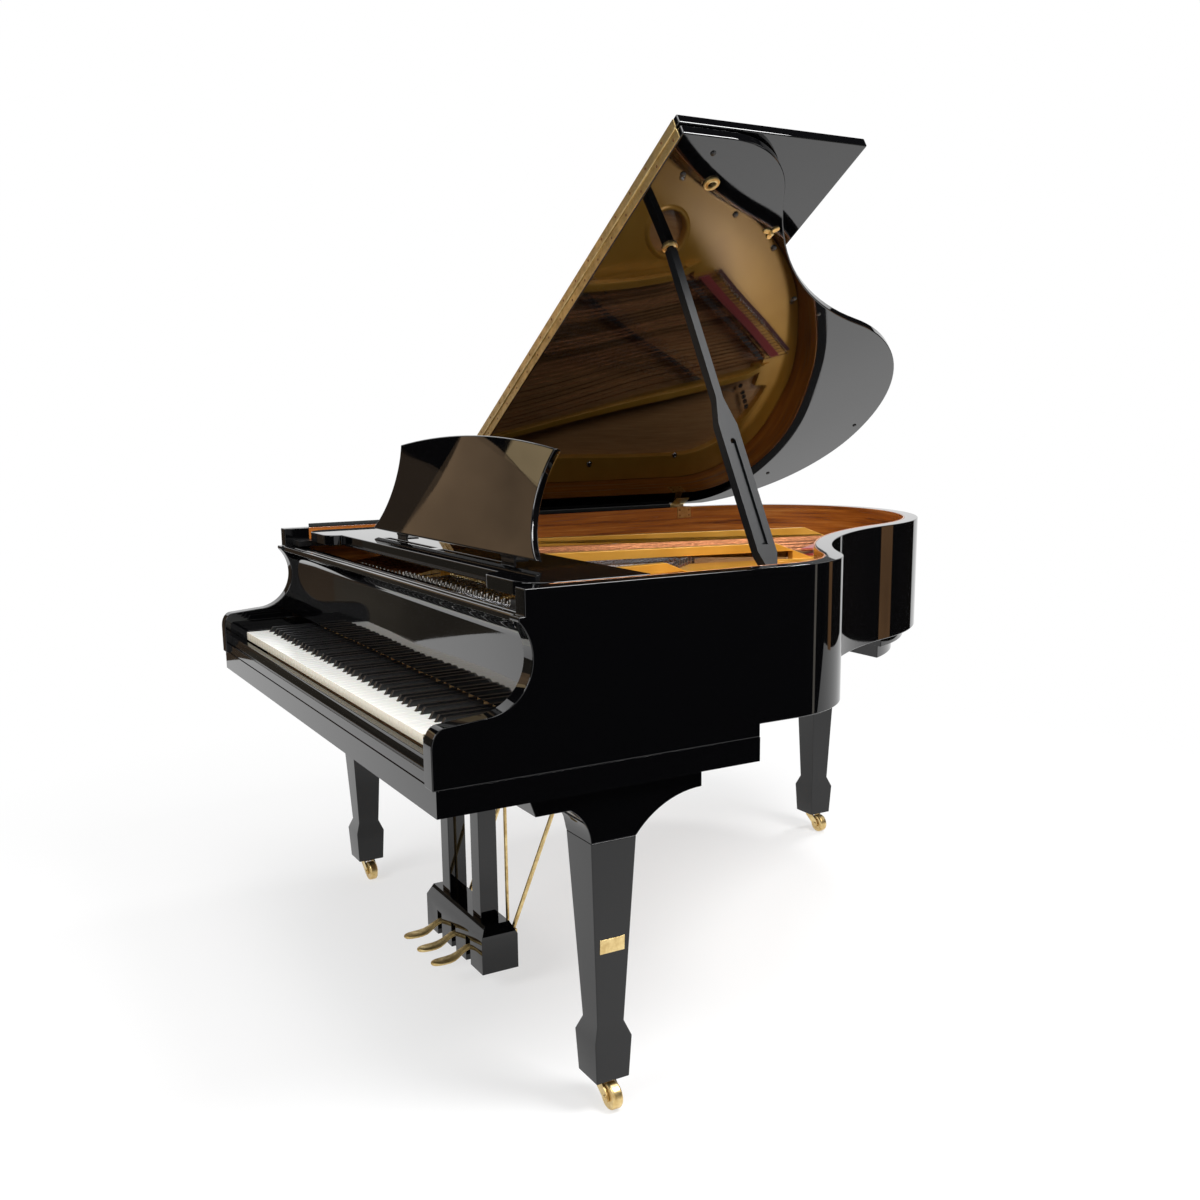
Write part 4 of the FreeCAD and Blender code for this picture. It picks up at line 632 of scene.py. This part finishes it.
def makeStrings():
    plain, wound = ([], []), ([], [])
    tuning, hitch, bridgePins, agraffes = [], [], [], {"low": [], "high": []}
    for note in range(stringing["notes"]):
        (fx, fy), (bx, by) = stringEnds(note)
        bass = note < stringing["wound"]
        count = 1 if note < stringing["singles"] else 2 if bass else 3
        z = stringing["woundZ"] if bass else stringing["plainZ"]
        radius = stringing["singleMm"] if count == 1 else stringing["doubleMm"] if bass else stringing["plainMm"]
        length = math.hypot(bx - fx, by - fy)
        alongX, alongY = (bx - fx) / length, (by - fy) / length
        clear = all(abs(fx - bar) > stringing["barClear"] for bar in stringing["barFronts"])
        if clear:
            agraffes["high" if bass else "low"].append(spot(fx, stringing["agraffeY"], stringing["web"]))
        for k in range(count):
            off = (k - (count - 1) / 2) * stringing["pitch"]
            pinX = fx + off * stringing["pinSpread"]
            pinY = stringing["pinY"] + stringing["pinStep"] * (k + (note % 2) * 0.5)
            tuning.append(spot(pinX, pinY, stringing["web"]))
            start = [spot(pinX + stringing["coilSide"], pinY, stringing["web"] + stringing["coilRise"]),
                     spot(fx + off, stringing["agraffeY"], z)]
            path = (start if clear else []) + [spot(fx + off, fy, z)]
            path.append(spot(bx + off + alongX * stringing["tail"], by + alongY * stringing["tail"], z))
            wireRun(*(wound if bass else plain), path, radius)
            for beyond, lean in stringing["bridgePins"]:
                bridgePins.append(spot(bx + off + alongX * beyond + lean * (radius + stringing["pinGrip"]),
                                       by + alongY * beyond, z - radius - stringing["pinSink"]))
            if bass or note >= stringing["firstHitch"]:
                hitch.append(spot(bx + off + alongX * stringing["tail"], by + alongY * stringing["tail"],
                                  stringing["flange"]))
    dress(newPiece("plainWires", *plain), "case", springSteel, ("plain_strings",), 0, 3, 60)
    dress(newPiece("woundWires", *wound), "case", copperWire, ("wound_strings",), 0, 3, 60)
    turnedSet("tuningPinsWithCoils", tuning, up, stringing["coil"], "case", nickel, 8, False,
              ("tuning_pins",))
    turnedSet("hitchPins", hitch, up, [(2.2, -2), (2.2, 18), (1.4, 20)], "case", springSteel, 8)
    turnedSet("bridgePins", bridgePins, up, [(0.9, 0), (0.9, 4.2), (0.4, 4.8)], "case", copperWire, 6)
    for key, high in (("low", 21), ("high", 33)):
        turnedSet("agraffes" + key.capitalize(), agraffes[key], up,
                  [(5.6, -0.5), (5.6, 4), (4.2, 5), (4.2, high - 3), (3.2, high), (1.2, high + 0.6)], "case", brass,
                  10)


def tailSpot(note, beyond, z):
    (fx, fy), (bx, by) = stringEnds(note)
    length = math.hypot(bx - fx, by - fy)
    return spot(bx + (bx - fx) / length * beyond, by + (by - fy) / length * beyond, z)


# A felt strip across the tails of the wound strings
def makeFeltStrip(name, key, material):
    near, far, low, high = stringing[key]
    notes = range(stringing["wound"])
    points = [tailSpot(note, d, z) for note in notes for d, z in ((near, low), (far, low), (far, high), (near, high))]
    faces = [[4 * k + a, 4 * k + (a + 1) % 4, 4 * k + 4 + (a + 1) % 4, 4 * k + 4 + a]
             for k in range(stringing["wound"] - 1) for a in range(4)]
    faces += [[0, 1, 2, 3], [len(points) - 4 + i for i in (3, 2, 1, 0)]]
    dress(newPiece(name, points, faces), "case", material, (), 0.8, 2)


makeStrings()
makeFeltStrip("tailBraidFelt", "braid", redFelt)
makeFeltStrip("hitchListingFelt", "listing", darkFelt)

# Plate fittings: a rolled ring round the port, screws along the flange and holes in the tail, each hole a shallow black
# disc of painted shade
plate = {"top": 911, "port": (88, 1242.7), "portMm": 57,
         "screws": [(238, 1249), (146, 1455), (60, 1625), (-92, 1752), (-640, 560), (-640, 860), (-640, 1160),
                    (-620, 1470), (640, 520), (640, 700), (560, 862), (395, 1010)],
         "holes": [(-407, 1669), (-424, 1680), (-442, 1692), (-462, 1704), (-380, 1650)],
         "ringRoll": [(0.2, -6), (0.2, 3), (2, 5), (5, 5.6), (9, 4.6), (13, 1.6), (16, -1), (6, -3)],
         "screwHead": [(9, -1), (9, 1.6), (7.6, 3.4), (4, 4.4), (3.4, 4.4), (3, 2.4), (0.2, 2.4)],
         "holeShadeDisc": [(8.6, -1), (8.6, 0.5), (7.6, 0.9), (6.8, 0.4), (6.4, -0.6), (0.2, -0.6)]}
turnedSet("portRolledRing", [spot(*plate["port"], plate["top"])], up,
          [(plate["portMm"] + out, high) for out, high in plate["ringRoll"]], "case", bronzePaint, 72,
          True)
turnedSet("plateScrews", [spot(x, y, plate["top"]) for x, y in plate["screws"]], up, plate["screwHead"], "case",
          springSteel, 18)
# each hole is a black satin disc standing in for the shade inside it: painted shade
turnedSet("plateHoleShadeDiscs", [spot(x, y, plate["top"]) for x, y in plate["holes"]], up, plate["holeShadeDisc"], "case",
          satinBlack, 20)
print("plate and strings ready")

# Legs, lyre and casters
for node in ("leg_corbels", "tail_blocks", "treble_leg", "bass_leg", "tail_leg", "lyre_frame", "lyre_box"):
    rounded(node, blackLacquer, 1.8)

# Pedals: cast levers that swell into a flat spoon
pedal = {"places": {"left": -85, "middle": 0, "right": 85}, "pinY": 375, "pinZ": 86, "pinMm": 4, "pinReach": 22.7,
         "facets": 20, "squareness": 0.72,
         "sections": [(441, 86, 8.2, 4.2), (440, 86, 9, 5), (380, 86, 9, 5), (338, 86, 9, 5), (326, 83.6, 9.2, 5),
                      (314, 77.5, 10.4, 5), (302, 70.6, 13, 5), (292, 66.4, 15.4, 5), (280, 64.4, 16.8, 5),
                      (266, 64, 17, 5), (254, 64, 15.8, 4.9), (246, 64, 12.6, 4.6), (241, 64, 8.4, 3.8),
                      (238.6, 64, 4.4, 2.6), (238, 64, 1.6, 1.2)]}


def makePedal(side, x):
    sides, square = pedal["facets"], pedal["squareness"]
    points, faces = [], []
    for y, z, half, thick in pedal["sections"]:
        for i in range(sides):
            t = 2 * math.pi * i / sides
            c, s = math.cos(t), math.sin(t)
            points.append(spot(x + half * math.copysign(abs(c) ** square, c), y,
                               z + thick * math.copysign(abs(s) ** square, s)))
    for k in range(len(pedal["sections"]) - 1):
        for i in range(sides):
            j = (i + 1) % sides
            faces.append([k * sides + i, k * sides + j, (k + 1) * sides + j, (k + 1) * sides + i])
    last = (len(pedal["sections"]) - 1) * sides
    faces += [[i for i in range(sides)][::-1], [last + i for i in range(sides)]]
    turn(points, faces, spot(x - pedal["pinReach"], pedal["pinY"], pedal["pinZ"]), Vector((1, 0, 0)),
         [(pedal["pinMm"], 0), (pedal["pinMm"], 2 * pedal["pinReach"])], 12)
    piece = newPiece(side + "PedalSpoon", points, faces)
    dress(piece, bodyOf(side + "_pedal"), wornBrass, (side + "_pedal",), 0, 3, 60)


for side, x in pedal["places"].items():
    makePedal(side, x)
    paint(side + "_pedal_rod", brass)

# Casters: rounded forks, dished wheels and a riveted axle
caster = {"places": {"treble": (676, 350), "bass": (-676, 350), "tail": (-336, 1700)}, "trail": 30, "axleZ": 26,
          "cheek": 15.6, "rivet": [(4.8, -0.4), (4.8, 0.6), (3.8, 1.7), (1.6, 2.3)]}
for side, (x, y) in caster["places"].items():
    rounded(side + "_caster_fork", brass, 1.4, 3)
    rounded(side + "_caster_wheel", brass, 0.8, 2)
    for sign in (-1, 1):
        turnedSet(side + ("AxleRivetFront" if sign < 0 else "AxleRivetBack"),
                  [spot(x + caster["trail"], y + sign * caster["cheek"], caster["axleZ"])], Vector((0, sign, 0)),
                  caster["rivet"], bodyOf(side + "_caster_fork"), brass, 16)
rounded("leg_plaque", brass, 0.4, 2)
rounded("lyre_braces", brass, 0.4, 2)
rounded("caster_sockets", brass, 1.0, 2)
print("legs, lyre and casters ready")

# Desk, lid and prop
rounded("desk_shelf", blackLacquer, 2.4, 4)
rounded("desk_panel", mirrorLacquer, 4.5, 5)
rounded("lid_main", mirrorLacquer, 3.0, 4)
rounded("lid_flap", mirrorLacquer, 3.0, 4)
rounded("prop_stick", propBlack, 3.2, 4)
rounded("short_prop", propBlack, 1.6, 3)
rounded("prop_bracket", satinBlack, 1.6, 3)
paint("desk_rails", satinBlack)
paint("desk_hinges", satinBlack)
for node in ("flap_hinge_main_leaf", "flap_hinge_flap_leaf"):
    rounded(node, brass, 0.3, 2)
for node in ("lid_hinge_lower", "lid_hinge_upper", "lid_cups"):
    rounded(node, brass, 0.6, 2)

# Small lid fittings, placed on the closed lid and turned open with it
lid = {"axis": (-745, 1006), "open": 32, "under": 1008, "hingeFront": 632.3, "leafZ": (1018.4, 1043.4), "screws": 22,
       "reach": 716, "cups": [(441, 773), (630, 767)], "lock": (508, 996), "lockTurn": 40,
       "lockSteps": 48, "lockMm": 13, "lobeMm": 8.5, "lockThick": 3.2,
       "bumpers": [(646, 690), (550, 876), (460, 1038), (292, 1212), (238, 1326), (-284, 1846), (706, 726),
                   (-560, 1700)],
       "hingeY": (789.6, 1454.8), "plateX": -698.8, "plateScrews": [(-17, 9), (-17, 26), (17, 9), (17, 26)]}


def lidSpot(x, y, z):
    angle = math.radians(lid["open"])
    outX, upZ = x - lid["axis"][0], z - lid["axis"][1]
    return spot(lid["axis"][0] + outX * math.cos(angle) - upZ * math.sin(angle), y,
                lid["axis"][1] + outX * math.sin(angle) + upZ * math.cos(angle))


def makeLidFittings():
    down = (lidSpot(0, 0, 0) - lidSpot(0, 0, 1000)).normalized()
    step = 2 * lid["reach"] / (lid["screws"] - 1)
    countersunk = [(2.6, -0.3), (2.6, 0.25), (2.1, 0.5), (0.9, 0.5), (0.8, -0.2), (0.1, -0.2)]
    for body, z, shift in (("lid", lid["leafZ"][0], 0), ("front_flap", lid["leafZ"][1], step / 2)):
        places = [lidSpot(-lid["reach"] + step * k + shift, lid["hingeFront"], z)
                  for k in range(lid["screws"] if not shift else lid["screws"] - 1)]
        turnedSet("hingeScrews" + body.split("_")[-1].capitalize(), places, Vector((0, -1, 0)), countersunk, body,
                  copperWire, 10)
    turnedSet("cupRings", [lidSpot(x, y, lid["under"] - 4) for x, y in lid["cups"]], down,
              [(8.2, -1), (8.2, 0.6), (9.6, 1.8), (11.6, 1.2), (13, 0.2), (15.4, 0.6), (16.6, -0.4), (16.6, -2)], "lid",
              brass, 32, True)
    turnedSet("lidBumpers", [lidSpot(x, y, lid["under"]) for x, y in lid["bumpers"]], down,
              [(5.8, -0.5), (5.8, 1.2), (5, 2.6), (2.4, 3.2), (0.2, 3.2)], "lid", satinBlack, 18)
    lobes = []
    for i in range(lid["lockSteps"]):
        t = 2 * math.pi * i / lid["lockSteps"]
        reach = lid["lockMm"] + lid["lobeMm"] * math.cos(3 * t)  # three lobes
        turned = t + math.radians(lid["lockTurn"])
        lobes.append((lid["lock"][0] + reach * math.cos(turned), lid["lock"][1] + reach * math.sin(turned)))
    low = [lidSpot(x, y, lid["under"] - lid["lockThick"]) for x, y in lobes]
    high = [lidSpot(x, y, lid["under"]) for x, y in lobes]
    dress(prism("lidLockPlate", low, high), "lid", brass, (), 0.9, 3)
    turnedSet("lidLockBoss", [lidSpot(*lid["lock"], lid["under"] - 3)], down, [(5, 0), (5, 5), (3.6, 6.4), (0.6, 6.8)],
              "lid", brass, 18)
    plates = [spot(lid["plateX"], y + along, rim["top"] - drop)
              for y in lid["hingeY"] for along, drop in lid["plateScrews"]]
    turnedSet("hingePlateScrews", plates, Vector((1, 0, 0)), [(2.8, -0.3), (2.8, 0.5), (2, 1), (0.9, 1), (0.8, 0.3),
              (0.1, 0.3)], "case", copperWire, 12)


makeLidFittings()

# Felt draught strip on the spine, broken at the hinges
draught = {"x": (-739, -731), "low": 1003.6, "high": 1012.4, "runs": [(250, 760), (820, 1424)]}
for number, (first, last) in enumerate(draught["runs"]):
    rings = [[spot(x, y, z) for x, z in ((draught["x"][0], draught["low"]), (draught["x"][1], draught["low"]),
                                         (draught["x"][1], draught["high"]), (draught["x"][0], draught["high"]))]
             for y in (first, last)]
    dress(prism("spineDraughtStrip" + str(number + 1), *rings), "case", greyFelt, (), 1.6, 3)
print("desk, lid and prop ready")

# Floor: white to the eye far off, with the shadow kept under the piano
studio = {"floorHalf": 30.0, "shadowNear": 0.9, "shadowFar": 2.6, "shadowGlow": 0.62, "fill": 0.35, "seen": 1.0}
half = studio["floorHalf"]
floor = newPiece("floor", [(-half, -half, 0), (half, -half, 0), (half, half, 0), (-half, half, 0)], [[0, 1, 2, 3]])
floorPaint, floorShader = newMaterial("floorPaintMattWhite", Base_Color=linear("#f4f4f4"), Roughness=0.9)
floor.data.materials.append(floorPaint)


# One for rays from the eye, off gloss and through glass, so that all of them meet the same white
def seenByEye(owner):
    rays = addNode(owner, "ShaderNodeLightPath")
    seen = addNode(owner, "ShaderNodeMath", {0: rays.outputs["Is Camera Ray"], 1: rays.outputs["Is Glossy Ray"]},
                   operation="MAXIMUM")
    return addNode(owner, "ShaderNodeMath", {0: seen.outputs[0], 1: rays.outputs["Is Transmission Ray"]},
                   operation="MAXIMUM").outputs[0]


whiteGlow = addNode(floorPaint, "ShaderNodeEmission", {"Strength": 1.0})
floorPlace = addNode(floorPaint, "ShaderNodeTexCoord")
fromMiddle = addNode(floorPaint, "ShaderNodeVectorMath", {0: floorPlace.outputs["Object"]}, operation="LENGTH")
fade = addNode(floorPaint, "ShaderNodeMapRange",
               {"Value": fromMiddle.outputs["Value"], "From Min": studio["shadowNear"],
                "From Max": studio["shadowFar"], "To Min": studio["shadowGlow"], "To Max": 1.0})
share = addNode(floorPaint, "ShaderNodeMath", {0: fade.outputs["Result"], 1: seenByEye(floorPaint)},
                operation="MULTIPLY")
mixed = addNode(floorPaint, "ShaderNodeMixShader",
                {0: share.outputs[0], 1: floorShader.outputs[0], 2: whiteGlow.outputs[0]})
wire(floorPaint, mixed.outputs[0], floorPaint.node_tree.nodes["Material Output"].inputs["Surface"])

world = bpy.data.worlds.new("softStudio")
bpy.context.scene.world = world
world.use_nodes = True
worldGlow = addNode(world, "ShaderNodeMapRange",
                    {"Value": seenByEye(world), "To Min": studio["fill"], "To Max": studio["seen"]})
backdrop = world.node_tree.nodes["Background"]
backdrop.inputs["Color"].default_value = (1, 1, 1, 1)
wire(world, worldGlow.outputs["Result"], backdrop.inputs["Strength"])


def softbox(name, place, aim, size, watts):
    lamp = bpy.data.lights.new(name, "AREA")
    lamp.shape = "RECTANGLE"
    lamp.size, lamp.size_y = size
    lamp.energy = watts
    holder = bpy.data.objects.new(name, lamp)
    holder.location = place
    holder.rotation_euler = (Vector(aim) - Vector(place)).to_track_quat("-Z", "Y").to_euler()
    bpy.context.collection.objects.link(holder)


# Each lamp's place, what it points at, its size in metres and its watts
lamps = {"topLight": ((0.7, -0.9, 3.8), (0.1, -0.2, 0.8), (2.4, 2.0), 70),
         "frontLight": ((0.9, -3.9, 2.6), (0, -0.4, 0.8), (2.2, 1.4), 65),
         "trebleLight": ((2.0, 0.9, 3.4), (0.1, 0.5, 0.9), (1.3, 1.4), 140),
         "tailLight": ((-0.74, 2.2, 3.4), (0.05, 0.5, 0.9), (0.4, 0.4), 45)}
for name, settings in lamps.items():
    softbox(name, *settings)


def panelCorners(start, end, low, high):
    return [(*start, low), (*end, low), (*end, high), (*start, high)]


# Painted reflections: glowing panels outside the camera's frame, seen only by gloss and metal, lighting nothing;
# the dark ones paint black into the lacquer's mirror, the lit ones paint walls, planks and strips of light into it
paintedReflections = {"paintedDarkReflectionRightLow": ("#050505", 1.0, panelCorners((1.9, -0.6), (1.9, 4.4), 0, 1.5)),
         "paintedDarkReflectionBack": ("#14120f", 1.0, panelCorners((2.9, 4.4), (-1.5, 4.4), 0, 3.6)),
         "paintedDarkReflectionFront": ("#0d0d0d", 1.0, panelCorners((-4.2, -4.4), (2.9, -4.4), 0, 3.4)),
         "paintedDarkReflectionRoof": ("#101010", 1.0, [(-4.2, -4.6, 4.0), (3.2, -4.6, 4.0), (3.2, 3.2, 4.0), (-4.2, 3.2, 4.0)]),
         "paintedWallReflectionDark": ("#54473a", 0.9, panelCorners((-4.2, -1.5), (-4.2, -2.0), 0, 2.0)),
         "paintedDarkReflectionLeftTop": ("#0b0a09", 1.0, panelCorners((-4.24, -1.5), (-4.24, -4.4), 2.0, 4.0)),
         "paintedWallReflectionLow": ("#5c564c", 0.8, panelCorners((-4.2, -2.0), (-4.2, -4.4), 0, 1.35)),
         "paintedWallReflectionHigh": ("#9a8064", 1.6, panelCorners((-4.2, -2.0), (-4.2, -4.4), 1.35, 2.32)),
         "paintedPlankReflection": ("#b8a27c", 2.6, panelCorners((-4.18, -2.3), (-4.18, -3.1), 2.32, 2.56)),
         "paintedDarkReflectionRightHigh": ("#2c2a28", 1.0, panelCorners((2.9, -1.3), (2.9, 4.4), 1.5, 4.0)),
         "paintedStripReflectionGrey": ("#b8b2a8", 2.5, panelCorners((1.86, 1.7), (1.86, 1.95), 0, 1.6)),
         "paintedStripReflectionBrown": ("#96704c", 2.5, panelCorners((1.3, 4.3), (0.8, 4.3), 0, 2.2))}
for name, (tone, strength, corners) in paintedReflections.items():
    reflectionPanel = newPiece(name, corners, [[0, 1, 2, 3]])
    reflectionPaint, reflectionShader = newMaterial(name + "PanelGlow", Base_Color=(0, 0, 0, 1), Roughness=1.0)
    reflectionShader.inputs["Specular IOR Level"].default_value = 0
    reflectionShader.inputs["Emission Color"].default_value = linear(tone)
    reflectionPlace = addNode(reflectionPaint, "ShaderNodeTexCoord")
    # the painted reflection's glow drifts softly across each panel
    reflectionDrift = addNode(reflectionPaint, "ShaderNodeTexNoise",
                    {"Vector": reflectionPlace.outputs["Object"], "Scale": perMetre(700), "Detail": 3.0})
    glow = addNode(reflectionPaint, "ShaderNodeMapRange",
                   {"Value": reflectionDrift.outputs["Fac"], "From Min": 0.3, "From Max": 0.7,
                    "To Min": strength * 0.7, "To Max": strength * 1.3})
    wire(reflectionPaint, glow.outputs["Result"], reflectionShader.inputs["Emission Strength"])
    reflectionPanel.data.materials.append(reflectionPaint)
    # only gloss and metal see the panel: a painted reflection, not a lamp, casting no light and no shadow
    reflectionPanel.visible_camera = reflectionPanel.visible_diffuse = reflectionPanel.visible_shadow = reflectionPanel.visible_transmission = False
print("stage ready")

view = {"yaw": 61.165, "pitch": -10.573, "roll": -0.85, "place": (2.4933, -1.6285, 1.2696),
        "focalPixels": 1199.9, "centreX": 580.0, "centreY": 647.5, "framePixels": 1200,
        "sensorMm": 36}
yaw, pitch, roll = (math.radians(view[k]) for k in ("yaw", "pitch", "roll"))
ahead = Vector((-math.sin(yaw) * math.cos(pitch), math.cos(yaw) * math.cos(pitch), math.sin(pitch)))
sideways = Vector((math.cos(yaw), math.sin(yaw), 0))
upright = sideways.cross(ahead)
across = sideways * math.cos(roll) + upright * math.sin(roll)
rise = upright * math.cos(roll) - sideways * math.sin(roll)
camera = bpy.data.objects.new("camera", bpy.data.cameras.new("camera"))
camera.matrix_world = Matrix.Translation(view["place"]) @ Matrix((across, rise, -ahead)).transposed().to_4x4()
camera.data.sensor_width = view["sensorMm"]
camera.data.lens = view["sensorMm"] * view["focalPixels"] / view["framePixels"]
camera.data.shift_x = 0.5 - view["centreX"] / view["framePixels"]
camera.data.shift_y = view["centreY"] / view["framePixels"] - 0.5
camera.data.clip_end = 100
bpy.context.collection.objects.link(camera)
bpy.context.scene.camera = camera
bpy.context.scene.view_settings.view_transform = "Standard"

print("scene ready")
